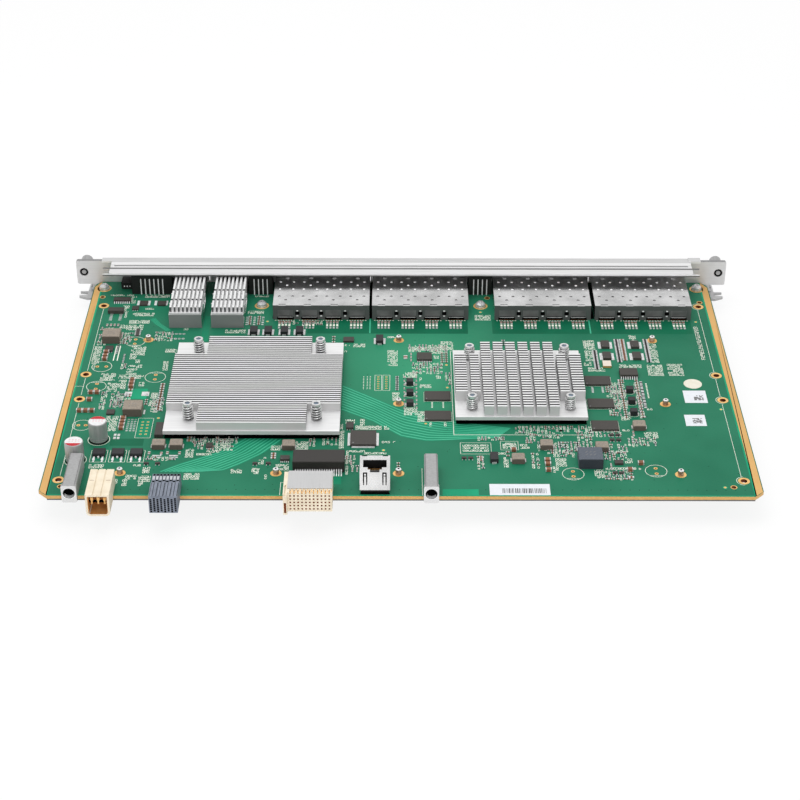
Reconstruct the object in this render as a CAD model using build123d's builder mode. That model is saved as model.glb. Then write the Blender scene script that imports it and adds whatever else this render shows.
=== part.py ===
from build123d import *
import math
import os

# Switch line card, 6U deep, lying component side up.
# Millimetres. +X to the right seen from the rear connectors, +Y towards the front panel, +Z up.
# Origin: middle of the card's footprint, at the height of the front panel's bottom edge.
# Board frame: X from the card's middle, Y from the board's rear edge, Z from its top face.

os.makedirs("parts", exist_ok=True)

# Small round holes, heads and shanks that repeat are drawn with few sides
fine_sides = 16
small_sides = 12
hidden_sides = 8

# Driving dimensions: circuit board
board_width = 377.0
board_depth = 233.35
board_thickness = 2.0
board_rear_chamfer = 4.8
board_front_radius = 7.0
plated_hole_radius = 1.75
plated_hole_x = 179.6
plated_hole_rows = (14.6, 95.2, 122.0, 202.7)
tooling_hole_radius = 1.3
tooling_holes = ((-177.7, 8.5), (173.5, 8.7), (-181.8, 213.7), (181.0, 208.0), (52.3, 213.3))

# Driving dimensions: front panel
panel_width = 399.4
panel_thickness = 2.5
panel_board_gap = 0.1
panel_top = 14.4
panel_bottom = -15.0
ear_bottom = -1.5
ear_corner_radius = 1.2
skirt_half_width = 182.0
window_clearance = 0.3

# Driving dimensions: hood over the cages
hood_thickness = 1.0
hood_lip_half_width = 183.5
hood_lip_depth = 4.6
hood_half_width = 177.2
hood_depth = 20.6
hood_corner_radius = 1.5
groove_width = 1.3
groove_depth = 0.5
groove_setback = 10.4
groove_end_margin = 2.2
hood_tab_length = 7.5
hood_tab_height = 0.5

# Driving dimensions: angle bracket under the board
bracket_thickness = 1.5
bracket_half_width = 181.5
bracket_drop = 10.0
bracket_shelf_depth = 7.0
bracket_bend_radius = 0.5
tongue_width = 11.0
tongue_margin = 7.0

# Driving dimensions: panel screws and studs
screw_shank_radius = 1.45
screw_head_radius = 2.9
screw_head_height = 2.3
screw_head_bevel = 1.2
screw_tail = 1.2
recess_length = 3.2
recess_width = 0.6
recess_depth = 0.8
washer_radius = 3.1
washer_thickness = 0.7
screw_fit = 0.05
panel_screw_spots = ((-182.0, 224.6), (181.2, 224.9), (-84.2, 203.2), (47.9, 203.2))
stud_radius = 1.6
stud_height = 3.1
stud_below = 0.6
stud_chamfer = 0.35
stud_spots = (
    (-148.2, 161.6), (-1.4, 161.6), (147.1, 161.6),
    (-1.4, 91.0), (147.1, 91.0),
    (-148.2, 21.2), (-66.0, 21.2), (-1.4, 21.2), (147.2, 20.5),
)

# Driving dimensions: ejector levers, drawn for the left one and mirrored
pivot_x = -(panel_width / 2 - 11.7)
pivot_ahead = 6.6
lever_top = -7.6
lever_thickness = 1.5
lever_hub_radius = 4.4
lever_pin_radius = 1.5
lever_pin_fit = 0.05
arm_width = 2.8
arm_outer_x = pivot_x - 5.8
prong_tip_x = pivot_x - 10.7
near_prong_rear = 226.6
near_prong_depth = 3.9
far_prong_rear = 233.4
far_prong_depth = 1.9
prong_tip_share = 0.4
lever_corner_chamfer = 0.5
handle_length = 42.0
handle_depth = 4.2
handle_tab_length = 7.0
handle_tab_rise = 5.0
lug_gap = 0.3
lug_thickness = 2.0
lug_radius = 4.2
lug_foot_width = 6.0
foot_thickness = 2.0
foot_height = 9.0
foot_screw_radius = 1.7
foot_screw_head = 0.9
foot_screw_z = 4.6
pin_end = 0.8
pin_head_radius = 2.6
lever_swing = 40.0

# Driving dimensions: captive thumbscrews
captive_x = panel_width / 2 - 4.5
captive_z = 6.8
knob_radius = 3.73
knob_length = 9.3
knob_gap = 4.2
knob_sides = 24
knob_chamfer = 0.4
knob_slot_width = 0.9
knob_slot_depth = 1.1
knob_bore_gap = 0.35
knob_bore_depth = 4.7
captive_shank_radius = 1.4
ferrule_radius = 2.75
ferrule_fit = 0.05
ferrule_bore_radius = 1.75
ferrule_mouth_radius = 2.5
ferrule_mouth_depth = 1.9
ferrule_sleeve = 3.8
ferrule_flange_radius = 3.4
ferrule_flange = 0.5

# Driving dimensions: ganged port cages
cage_centres = (-47.7, 11.4, 84.4, 144.2)
cage_rear = 186.3
cage_height = 9.6
cage_wall = 0.45
cage_panel_proud = 0.6
port_count = 4
port_pitch = 14.25
cage_width = port_count * port_pitch + cage_wall
vent_radius = 0.95
vent_sides = 6
vent_pair_offset = 4.0
vent_pair_rows = (11.4, 20.3, 29.4)
vent_centre_rows = (6.9, 25.2)
rear_window_width = 8.2
rear_window_height = 5.4
rear_window_sill = 0.6
fold_tab_width = 4.3
fold_tab_depth = 1.7
fold_tab_sink = 0.2
fold_tab_offsets = (-23.2, -8.2, 7.8, 22.8)
floor_opening_depth = 11.0

# Driving dimensions: edge connector inside each port
port_plug_width = 11.2
port_plug_depth = 9.2
port_plug_height = 5.6
port_plug_slot_width = 9.6
port_plug_slot_height = 1.2
port_plug_slot_depth = 5.0
inner_gap = 0.15

# Driving dimensions: wide single cages
wide_centres = (-127.8, -102.9)
wide_width = 19.3
wide_rear = 176.0
wide_height = 8.7
wide_wall = 0.45
wide_window_width = 14.0
wide_window_share = 0.65
wide_sink_setback = 0.2
wide_sink_panel_gap = 17.25
wide_fin_setback = 2.0
wide_sink_width = 18.3
wide_sink_base = 1.0
wide_fin_height = 3.1
wide_fin_count = 8
wide_fin_width = 1.15
wide_cut_width = 2.0
wide_cut_shares = (0.288, 0.588)
clip_strap_width = 1.2
clip_strap_thickness = 0.5
clip_leg_drop = 4.5
clip_rail_height = 1.6
clip_gap = 0.1
wide_plug_width = 15.0
wide_plug_depth = 12.0
wide_plug_height = 6.0

# Driving dimensions: light blocks and reset switch
light_block_rear = 217.6
light_block_front = 231.5
light_block_height = 12.0
light_blocks = ((-151.8, 24.6, 6), (-85.5, 14.4, 4), (48.1, 14.0, 4))
lead_pitch = 2.65
lead_wire = 0.55
lead_drop = 1.5
light_lens_radius = 1.5
light_lens_z = 7.2
light_lens_proud = 0.8
light_lens_pitch = 5.3
lens_fit = 0.1
switch_x = -167.9
switch_width = 7.0
switch_rear = 224.0
switch_front = 232.3
switch_height = 4.3
button_radius = 1.2
button_z = 2.3
button_fit = 0.06
button_seat_depth = 3.0
button_proud = 1.0
button_travel = 0.8
button_end_gap = 0.2

# Driving dimensions: heat sinks and their spring screws
sink_underside = 3.2
big_sink_x = -81.05
big_sink_y = 101.5
big_sink_size = 95.4
big_sink_base = 2.2
big_fin_height = 4.9
big_fin_count = 43
big_fin_pitch = 2.2
big_fin_width = 1.1
big_notch_x = 18.1
big_notch_y = 18.7
big_screw_offset = 34.9
big_screw_top = 15.5
big_chip_size = 40.0
small_sink_x = 65.9
small_sink_y = 105.0
small_sink_size = 72.4
small_sink_base = 2.0
small_fin_height = 6.3
small_fin_pitch = 2.65
small_fin_width = 1.35
small_fin_rows = 27
small_fin_columns = 6
small_column_pitch = 7.15
small_column_width = 5.4
small_side_columns = ((24.6, 5.1), (32.5, 6.6))
small_notch_near = 15.6
small_notch_far = 13.4
small_screw_offset = 27.0
small_screw_top = 13.9
small_chip_size = 31.0
spring_screw_head_radius = 2.6
spring_screw_head = 1.5
spring_screw_shank_radius = 1.2
spring_screw_below = 0.8
spring_socket_radius = 1.5
spring_socket_depth = 0.8
spring_outer_radius = 3.1
spring_bore_radius = 2.2
sink_screw_fit = 0.2
chip_substrate_height = 1.2
chip_lid_margin = 4.0
thermal_pad_thickness = 0.3

# Driving dimensions: rear edge connectors
guide_spots = (-171.0, 15.6)
guide_width = 7.1
guide_length = 31.6
guide_front = -5.0
guide_height = 9.0
guide_collar_length = 2.6
guide_collar_step = 0.4
guide_collar_drop = 0.9
guide_bore_radius = 3.0
guide_bore_depth = 22.0
guide_bore_z = 4.8
guide_mouth_chamfer = 0.4
guide_edge_chamfer = 0.7
edge_gap = 0.2
power_x = -155.4
power_width = 12.3
power_front = -12.4
power_rear = 11.6
power_top = 8.8
power_bottom = -4.2
power_wall = 1.1
power_cavity_depth = 10.6
power_corner_radius = 2.4
power_groove_width = 0.7
power_groove_depth = 0.5
power_groove_offset = 2.1
blade_count = 3
blade_pitch = 3.3
blade_width = 1.4
blade_thickness = 0.9
blade_length = 7.5
blade_z = 4.3
signal_x = -121.9
signal_front = -12.0
signal_rear = 10.0
signal_top = 8.0
signal_bottom = -2.4
signal_columns = 8
signal_column_pitch = 1.8
signal_rows = 7
signal_row_pitch = 1.22
signal_hole = 0.85
signal_hole_depth = 1.6
signal_stagger = 0.6
signal_step_y = 0.6
signal_step_drop = 1.0
signal_rib_gap = 0.25
signal_rib_depth = 0.3
hm_first_x = -56.8
hm_pitch = 2.0
hm_columns = 11
hm_rows = 5
hm_first_z = 7.4
hm_front = -10.7
hm_rear = 8.3
hm_top = 9.6
hm_bottom = -2.2
hm_left = -58.4
hm_right = -35.4
hm_hole = 0.75
hm_hole_depth = 1.6
hm_slot_width = 0.8
hm_slot_length = 2.6
hm_slot_depth = 1.0
hm_slot_setback = 0.9
hm_wing_left = -60.5
hm_wing_front = -12.7
hm_wing_bottom = -2.9
hm_wing_slot_width = 0.8
hm_wing_slot_depth = 9.0
hm_wing_recess_width = 1.2
hm_wing_recess_height = 6.2
hm_wing_recess_depth = 3.0
hm_wing_recess_sill = 1.0
hm_shield_thickness = 0.4
hm_shield_front = -7.5
hm_shield_foot = 1.0

# Driving dimensions: upright network jack
jack_x = -13.65
jack_width = 15.7
jack_front = 2.0
jack_depth = 15.1
jack_height = 14.0
jack_shell_wall = 0.4
jack_shell_foot = 2.4
jack_opening_width = 12.2
jack_opening_depth = 6.9
jack_opening_y = 9.4
jack_latch_width = 7.4
jack_latch_depth = 2.0
jack_slot_width = 4.9
jack_well_depth = 11.0
jack_finger_x = 5.0
jack_finger_width = 1.0
jack_finger_slot = 0.65
jack_finger_gap = 1.5
jack_finger_length = 6.2
jack_finger_top = 13.3

# Driving dimensions: packages on the board
memory_size = (14.5, 9.2, 1.1)
memory_spots = ((20.3, 98.2), (20.2, 77.4), (111.3, 115.0), (111.1, 90.5), (111.4, 67.6))
solder_gap = 0.15
transformer_size = (27.3, 12.0, 6.4)
transformer_spot = (-43.6, 28.5)
transformer_lead_count = 20
transformer_lead_height = 1.8
transformer_lead_pitch = 1.27
transformer_lead_width = 0.6
transformer_lead_reach = 4.2
transformer_lead_thickness = 0.35
logic_packages = (
    ((-20.5, 54.0), (14.0, 14.0, 1.6)),
    ((13.4, 141.1), (8.7, 7.9, 1.6)),
    ((119.0, 155.7), (4.9, 7.4, 1.5)),
    ((136.3, 155.7), (4.9, 7.4, 1.5)),
    ((119.0, 142.7), (4.9, 7.4, 1.5)),
    ((136.3, 142.7), (4.9, 7.4, 1.5)),
    ((-61.9, 34.2), (4.9, 3.9, 1.6)),
    ((-171.2, 194.9), (9.4, 4.4, 2.2)),
    ((-155.6, 204.9), (4.9, 4.9, 1.0)),
    ((-144.7, 204.9), (4.9, 4.9, 1.0)),
    ((-160.4, 80.8), (4.4, 4.6, 1.0)),
    ((115.6, 31.2), (4.5, 3.4, 1.2)),
    ((-30.8, 161.2), (6.2, 4.9, 1.2)),
    ((-131.3, 61.6), (4.6, 12.6, 2.2)),
)
wide_logic = (((129.5, 122.5), 10.2, 7.5, 2.4), ((-169.1, 208.6), 10.2, 4.0, 1.8))
logic_lead_count = 8
logic_lead_pitch = 1.27
logic_lead_width = 0.45
logic_lead_reach = 1.5
logic_lead_thickness = 0.3
small_inductor_size = (6.9, 6.6, 3.0)
small_inductor_spots = (
    (-130.4, 46.9), (-120.9, 46.9), (-60.5, 46.4), (78.2, 47.2), (62.3, 33.6), (107.8, 45.2), (129.9, 66.6),
)
medium_inductor_size = (10.4, 10.3, 4.7)
medium_inductor_spots = ((-169.8, 162.2), (-148.1, 82.0))
large_inductor_size = (12.9, 12.5, 5.9)
large_inductor_spot = (100.4, 32.0)
choke_size = (4.0, 3.8, 2.9)
choke_spots = ((4.9, 112.0), (4.9, 100.7), (4.9, 89.6), (128.4, 104.1), (128.4, 92.4), (128.4, 80.5))
inductor_chamfer = 0.5
package_chamfer = 0.3
can_radius = 5.0
can_sides = 20
can_height = 12.0
can_foot_height = 0.9
can_foot_inset = 0.5
can_groove_depth = 0.35
can_groove_width = 0.8
can_groove_z = 2.4
can_spots = ((-163.4, 53.5), (-173.3, 33.3))
transistor_size = (6.6, 5.8, 2.3)
transistor_spots = ((-161.4, 39.1), (-151.3, 39.1), (-141.4, 39.1))
transistor_lead_spread = 2.3
transistor_lead_width = 0.9
transistor_lead_reach = 3.6
transistor_lead_thickness = 0.5
tantalum_size = (4.3, 7.2, 2.7)
tantalum_spots = (
    (-87.0, 170.4), (-78.5, 170.4), (-68.9, 170.4), (-60.0, 170.4), (-12.6, 160.2), (49.5, 34.6),
)
ceramic_size = (3.2, 2.3, 1.6)
ceramic_spots = (
    (-171.0, 146.4), (-171.0, 142.2), (-171.0, 138.6),
    (-174.1, 101.6), (-170.6, 101.6), (-173.9, 94.0),
    (-177.9, 82.2), (-174.4, 82.2), (-171.0, 82.2),
    (-152.3, 115.2), (-152.3, 111.8), (-152.3, 108.2),
    (-152.7, 74.4), (-152.7, 71.0), (-152.7, 67.6), (-152.7, 64.2),
    (77.8, 33.4), (77.8, 29.6), (77.8, 24.0),
    (127.2, 30.6), (120.8, 24.2), (60.3, 43.2),
)
crystal_size = (4.8, 6.2, 1.3)
crystal_spot = (118.2, 133.4)

# Places worked out from the driving dimensions
panel_rear = board_depth + panel_board_gap
panel_front = panel_rear + panel_thickness
pivot_y = panel_front + pivot_ahead
card_front = pivot_y + handle_depth / 2 + handle_tab_rise
card_rear = hm_wing_front
board_top_z = -panel_bottom
board_rear_y = -(card_front + card_rear) / 2
cage_front = panel_front + cage_panel_proud
wide_sink_rear = wide_rear + wide_sink_setback
wide_sink_length = panel_rear - wide_sink_panel_gap - wide_sink_rear
wide_cuts = [wide_sink_length * share for share in wide_cut_shares]


def top_plane(z=0.0):
    """Sketch plane parallel to the board, z above its top face; X and Y as in the board frame."""
    return Plane(origin=(0, board_rear_y, board_top_z + z))


def rear_plane(y):
    """Upright sketch plane seen from the rear: X right, Y up; positive extrusions come to the rear."""
    return Plane(origin=(0, board_rear_y + y, board_top_z), x_dir=(1, 0, 0), z_dir=(0, -1, 0))


def side_plane(x):
    """Upright sketch plane across the card: X is the board's Y, Y is up."""
    return Plane(origin=(x, board_rear_y, board_top_z), x_dir=(0, 1, 0), z_dir=(1, 0, 0))


def save(piece, label):
    piece.part.label = label
    export_step(piece.part, f"parts/{label}.step")


def spread(count, pitch):
    """Centred positions of count things, a pitch apart."""
    return [(i - (count - 1) / 2) * pitch for i in range(count)]


def spring_screw_spots(x, y, offset):
    return [(x + sx * offset, y + sy * offset) for sx in (-1, 1) for sy in (-1, 1)]


big_screw_spots = spring_screw_spots(big_sink_x, big_sink_y, big_screw_offset)
small_screw_spots = spring_screw_spots(small_sink_x, small_sink_y, small_screw_offset)

# Circuit board
plated_holes = [(side * plated_hole_x, row) for side in (-1, 1) for row in plated_hole_rows]
with BuildPart() as circuit_board:
    with BuildSketch(top_plane(-board_thickness)) as outline:
        Rectangle(board_width, board_depth, align=(Align.CENTER, Align.MIN))
        chamfer(outline.vertices().group_by(Axis.Y)[0], board_rear_chamfer)
        fillet(outline.vertices().group_by(Axis.Y)[-1], board_front_radius)
        with Locations(*plated_holes):
            RegularPolygon(plated_hole_radius, fine_sides, mode=Mode.SUBTRACT)
        with Locations(*tooling_holes):
            RegularPolygon(tooling_hole_radius, small_sides, mode=Mode.SUBTRACT)
        with Locations(*panel_screw_spots):
            RegularPolygon(screw_shank_radius + screw_fit, hidden_sides, mode=Mode.SUBTRACT)
        with Locations(*stud_spots):
            RegularPolygon(stud_radius + screw_fit, hidden_sides, mode=Mode.SUBTRACT)
        with Locations(*big_screw_spots, *small_screw_spots):
            RegularPolygon(spring_screw_shank_radius + screw_fit, hidden_sides, mode=Mode.SUBTRACT)
    extrude(amount=board_thickness)
save(circuit_board, "circuit_board")

# Front panel: one sheet with an ear at each end and a window for every port
lens_places = []
for block_x, block_width, block_leads in light_blocks:
    for offset_x in spread(block_leads // 2, light_lens_pitch):
        lens_places.append((block_x + offset_x, light_lens_z))
captive_places = [(side * captive_x, captive_z) for side in (-1, 1)]
with BuildPart() as front_panel:
    with BuildSketch(rear_plane(panel_front)):
        with Locations((0, (panel_top + ear_bottom) / 2)):
            RectangleRounded(panel_width, panel_top - ear_bottom, ear_corner_radius)
        with Locations((0, (panel_top + panel_bottom) / 2)):
            Rectangle(2 * skirt_half_width, panel_top - panel_bottom)
        with Locations(*[(x, cage_height / 2) for x in cage_centres]):
            cage_window = (cage_width + 2 * window_clearance, cage_height + 2 * window_clearance)
            Rectangle(*cage_window, mode=Mode.SUBTRACT)
        with Locations(*[(x, wide_height / 2) for x in wide_centres]):
            wide_window = (wide_width + 2 * window_clearance, wide_height + 2 * window_clearance)
            Rectangle(*wide_window, mode=Mode.SUBTRACT)
        with Locations(*lens_places):
            RegularPolygon(light_lens_radius + lens_fit, small_sides, mode=Mode.SUBTRACT)
        with Locations((switch_x, button_z)):
            RegularPolygon(button_radius + window_clearance, small_sides, mode=Mode.SUBTRACT)
        with Locations(*captive_places):
            RegularPolygon(ferrule_radius + ferrule_fit, fine_sides, mode=Mode.SUBTRACT)
    extrude(amount=panel_thickness)
save(front_panel, "front_panel")

# Hood: flat sheet on the panel's top edge, over the front of the cages, with a gasket groove
with BuildPart() as panel_hood:
    with BuildSketch(top_plane(panel_top)) as hood_outline:
        with Locations((0, panel_front)):
            Rectangle(2 * hood_lip_half_width, hood_lip_depth, align=(Align.CENTER, Align.MAX))
            Rectangle(2 * hood_half_width, hood_depth, align=(Align.CENTER, Align.MAX))
        fillet(hood_outline.vertices().group_by(Axis.Y)[0], hood_corner_radius)
    extrude(amount=hood_thickness)
    with BuildSketch(top_plane(panel_top + hood_thickness)):
        with Locations((hood_lip_half_width, panel_front)):
            Rectangle(hood_tab_length, hood_lip_depth, align=(Align.MAX, Align.MAX))
    extrude(amount=hood_tab_height)
    with BuildSketch(top_plane(panel_top + hood_thickness)):
        with Locations((0, panel_front - groove_setback)):
            Rectangle(2 * (hood_half_width - groove_end_margin), groove_width)
    extrude(amount=-groove_depth, mode=Mode.SUBTRACT)
save(panel_hood, "panel_hood")

# Angle bracket: folded sheet carrying the board on the panel's rear face
bracket_top = -board_thickness
bracket_low = bracket_top - bracket_drop
with BuildPart() as board_bracket:
    with BuildSketch(side_plane(0)) as bend:
        with BuildLine():
            Polyline(
                (panel_rear, bracket_low),
                (panel_rear, bracket_top),
                (panel_rear - bracket_shelf_depth, bracket_top),
                (panel_rear - bracket_shelf_depth, bracket_top - bracket_thickness),
                (panel_rear - bracket_thickness, bracket_top - bracket_thickness),
                (panel_rear - bracket_thickness, bracket_low),
                close=True,
            )
        make_face()
        outer_corner = (panel_rear, bracket_top, 0)
        outer_bend = bracket_thickness + bracket_bend_radius
        fillet(bend.vertices().sort_by_distance(outer_corner)[0], outer_bend)
        inner_corner = (panel_rear - bracket_thickness, bracket_top - bracket_thickness, 0)
        fillet(bend.vertices().sort_by_distance(inner_corner)[0], bracket_bend_radius)
    extrude(amount=bracket_half_width, both=True)
    with BuildSketch(top_plane(bracket_top)):
        for screw_x, screw_y in panel_screw_spots:
            with Locations((screw_x, screw_y - tongue_margin)):
                reach = panel_rear - 0.5 * bracket_shelf_depth - screw_y + tongue_margin
                Rectangle(tongue_width, reach, align=(Align.CENTER, Align.MIN))
    extrude(amount=-bracket_thickness)
    with BuildSketch(top_plane(bracket_top)):
        with Locations(*panel_screw_spots):
            RegularPolygon(screw_shank_radius + screw_fit, hidden_sides)
    extrude(amount=-bracket_thickness, mode=Mode.SUBTRACT)
save(board_bracket, "board_bracket")

# Panel screws through board and bracket, each on a washer
with BuildPart() as panel_washers:
    with BuildSketch(top_plane()):
        with Locations(*panel_screw_spots):
            RegularPolygon(washer_radius, fine_sides)
            RegularPolygon(screw_shank_radius + screw_fit, hidden_sides, mode=Mode.SUBTRACT)
    extrude(amount=washer_thickness)
save(panel_washers, "panel_washers")

screw_end = bracket_top - bracket_thickness - screw_tail
with BuildPart() as panel_screws:
    with BuildSketch(top_plane(screw_end)):
        with Locations(*panel_screw_spots):
            RegularPolygon(screw_shank_radius, hidden_sides)
    extrude(amount=washer_thickness - screw_end)
    with BuildSketch(top_plane(washer_thickness)):
        with Locations(*panel_screw_spots):
            RegularPolygon(screw_head_radius, fine_sides)
    extrude(amount=screw_head_height)
    head_tops = panel_screws.edges().group_by(Axis.Z)[-1]
    chamfer(head_tops, screw_head_bevel)
    with BuildSketch(top_plane(washer_thickness + screw_head_height)):
        with Locations(*panel_screw_spots):
            Rectangle(recess_length, recess_width)
            Rectangle(recess_width, recess_length)
    extrude(amount=-recess_depth, mode=Mode.SUBTRACT)
save(panel_screws, "panel_screws")

# Plated studs pressed through the board
with BuildPart() as board_studs:
    with BuildSketch(top_plane(-board_thickness - stud_below)):
        with Locations(*stud_spots):
            RegularPolygon(stud_radius, hidden_sides)
    extrude(amount=stud_height + board_thickness + stud_below)
    stud_tops = board_studs.edges().group_by(Axis.Z)[-1]
    chamfer(stud_tops, stud_chamfer)
save(board_studs, "board_studs")


def ejector_lever(side):
    """Flat forked lever: two tapered prongs outwards, handle inwards along the panel."""
    pivot = side * abs(pivot_x)
    arm_outer = abs(arm_outer_x)
    arm_inner = arm_outer - arm_width
    inward = Align.MIN if side < 0 else Align.MAX
    outward = Align.MAX if side < 0 else Align.MIN
    prongs = ((near_prong_rear, near_prong_depth), (far_prong_rear, far_prong_depth))
    with BuildPart() as lever:
        with BuildSketch(top_plane(lever_top)) as fork:
            with Locations((pivot, pivot_y)):
                Circle(lever_hub_radius)
                Rectangle(handle_length, handle_depth, align=(inward, Align.CENTER))
            with Locations((side * (abs(pivot_x) - handle_length), pivot_y - handle_depth / 2)):
                Rectangle(handle_tab_length, handle_depth + handle_tab_rise, align=(outward, Align.MIN))
            with Locations((side * arm_inner, near_prong_rear)):
                arm_length = pivot_y + lever_hub_radius / 2 - near_prong_rear
                Rectangle(arm_width, arm_length, align=(outward, Align.MIN))
            with Locations((pivot, pivot_y - lever_hub_radius / 2)):
                Rectangle(arm_outer - abs(pivot_x), lever_hub_radius, align=(outward, Align.MIN))
            for prong_rear, prong_depth in prongs:
                prong_front = prong_rear + prong_depth
                with BuildLine():
                    Polyline(
                        (side * arm_inner, prong_rear),
                        (side * arm_inner, prong_front),
                        (side * abs(prong_tip_x), prong_front),
                        (side * abs(prong_tip_x), prong_front - prong_tip_share * prong_depth),
                        (side * arm_outer, prong_rear),
                        close=True,
                    )
                make_face()
            tab_inner = abs(pivot_x) - handle_length + handle_tab_length
            chamfer([v for v in fork.vertices() if abs(v.X) < tab_inner + 1], lever_corner_chamfer)
            with Locations((pivot, pivot_y)):
                Circle(lever_pin_radius + lever_pin_fit, mode=Mode.SUBTRACT)
        extrude(amount=-lever_thickness)
    return lever


ejector_left = ejector_lever(-1)
save(ejector_left, "ejector_left")
ejector_right = ejector_lever(1)
save(ejector_right, "ejector_right")

# Ejector brackets: a foot on each ear's front face and a lug over the lever
lug_low = lever_top + lug_gap
with BuildPart() as ejector_brackets:
    for side in (-1, 1):
        with BuildSketch(top_plane(lug_low)):
            with Locations((side * abs(pivot_x), pivot_y)):
                Circle(lug_radius)
            with Locations((side * abs(pivot_x), panel_front)):
                Rectangle(2 * lug_radius, pivot_ahead, align=(Align.CENTER, Align.MIN))
            with Locations((side * abs(pivot_x), pivot_y)):
                Circle(lever_pin_radius, mode=Mode.SUBTRACT)
        extrude(amount=lug_thickness)
    with BuildSketch(rear_plane(panel_front + foot_thickness)):
        with Locations(*[(side * abs(pivot_x), lug_low) for side in (-1, 1)]):
            Rectangle(lug_foot_width, foot_height - lug_low, align=(Align.CENTER, Align.MIN))
    extrude(amount=foot_thickness)
save(ejector_brackets, "ejector_brackets")

# Ejector pins: headed below the lever and riveted into the lug
pin_top = lug_low + lug_thickness
pin_low = lever_top - lever_thickness - lug_gap - pin_end
pin_spots = [(side * abs(pivot_x), pivot_y) for side in (-1, 1)]
with BuildPart() as ejector_pins:
    with BuildSketch(top_plane(pin_low)):
        with Locations(*pin_spots):
            RegularPolygon(pin_head_radius, fine_sides)
    extrude(amount=pin_end)
    with BuildSketch(top_plane(pin_low)):
        with Locations(*pin_spots):
            Circle(lever_pin_radius)
    extrude(amount=pin_top - pin_low)
save(ejector_pins, "ejector_pins")

# Screw heads holding the brackets' feet
foot_screw_spots = [(side * abs(pivot_x), foot_screw_z) for side in (-1, 1)]
with BuildPart() as bracket_screws:
    with BuildSketch(rear_plane(panel_front + foot_thickness + foot_screw_head)):
        with Locations(*foot_screw_spots):
            RegularPolygon(foot_screw_radius, small_sides)
    extrude(amount=foot_screw_head)
    with BuildSketch(rear_plane(panel_front + foot_thickness + foot_screw_head)):
        with Locations(*foot_screw_spots):
            Rectangle(recess_length / 2, recess_width)
            Rectangle(recess_width, recess_length / 2)
    extrude(amount=foot_screw_head / 2, mode=Mode.SUBTRACT)
save(bracket_screws, "bracket_screws")

# Ferrules of the captive thumbscrews, seated in the ears
ferrule_end = panel_front + ferrule_sleeve
with BuildPart() as captive_ferrules:
    with BuildSketch(rear_plane(ferrule_end)):
        with Locations(*captive_places):
            RegularPolygon(ferrule_radius, fine_sides)
            RegularPolygon(ferrule_bore_radius, small_sides, mode=Mode.SUBTRACT)
    extrude(amount=ferrule_end - panel_rear)
    with BuildSketch(rear_plane(panel_front + ferrule_flange)):
        with Locations(*captive_places):
            RegularPolygon(ferrule_flange_radius, fine_sides)
            RegularPolygon(ferrule_bore_radius, small_sides, mode=Mode.SUBTRACT)
    extrude(amount=ferrule_flange)
    with BuildSketch(rear_plane(panel_rear)):
        with Locations(*captive_places):
            RegularPolygon(ferrule_mouth_radius, fine_sides)
    extrude(amount=-ferrule_mouth_depth, mode=Mode.SUBTRACT)
save(captive_ferrules, "captive_ferrules")


def captive_screw(side):
    """Thumbscrew drawn back: knob with a skirt that slides over the ferrule, shank flush with the ear."""
    knob_face = panel_front + knob_gap + knob_length
    centre = (side * captive_x, captive_z)
    with BuildPart() as screw:
        with BuildSketch(rear_plane(knob_face)):
            with Locations(centre):
                RegularPolygon(knob_radius, knob_sides)
        extrude(amount=knob_length)
        rims = screw.edges().group_by(Axis.Y)[-1]
        chamfer(rims, knob_chamfer)
        with BuildSketch(rear_plane(panel_front + knob_gap + knob_bore_depth)):
            with Locations(centre):
                RegularPolygon(ferrule_radius + knob_bore_gap, fine_sides)
        extrude(amount=knob_bore_depth, mode=Mode.SUBTRACT)
        with BuildSketch(rear_plane(knob_face)):
            with Locations(centre):
                Rectangle(2 * knob_radius, knob_slot_width)
        extrude(amount=knob_slot_depth, mode=Mode.SUBTRACT)
        with BuildSketch(rear_plane(knob_face - knob_slot_depth)):
            with Locations(centre):
                RegularPolygon(captive_shank_radius, small_sides)
        extrude(amount=knob_face - knob_slot_depth - panel_rear)
    return screw


captive_screw_left = captive_screw(-1)
save(captive_screw_left, "captive_screw_left")
captive_screw_right = captive_screw(1)
save(captive_screw_right, "captive_screw_right")


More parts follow.
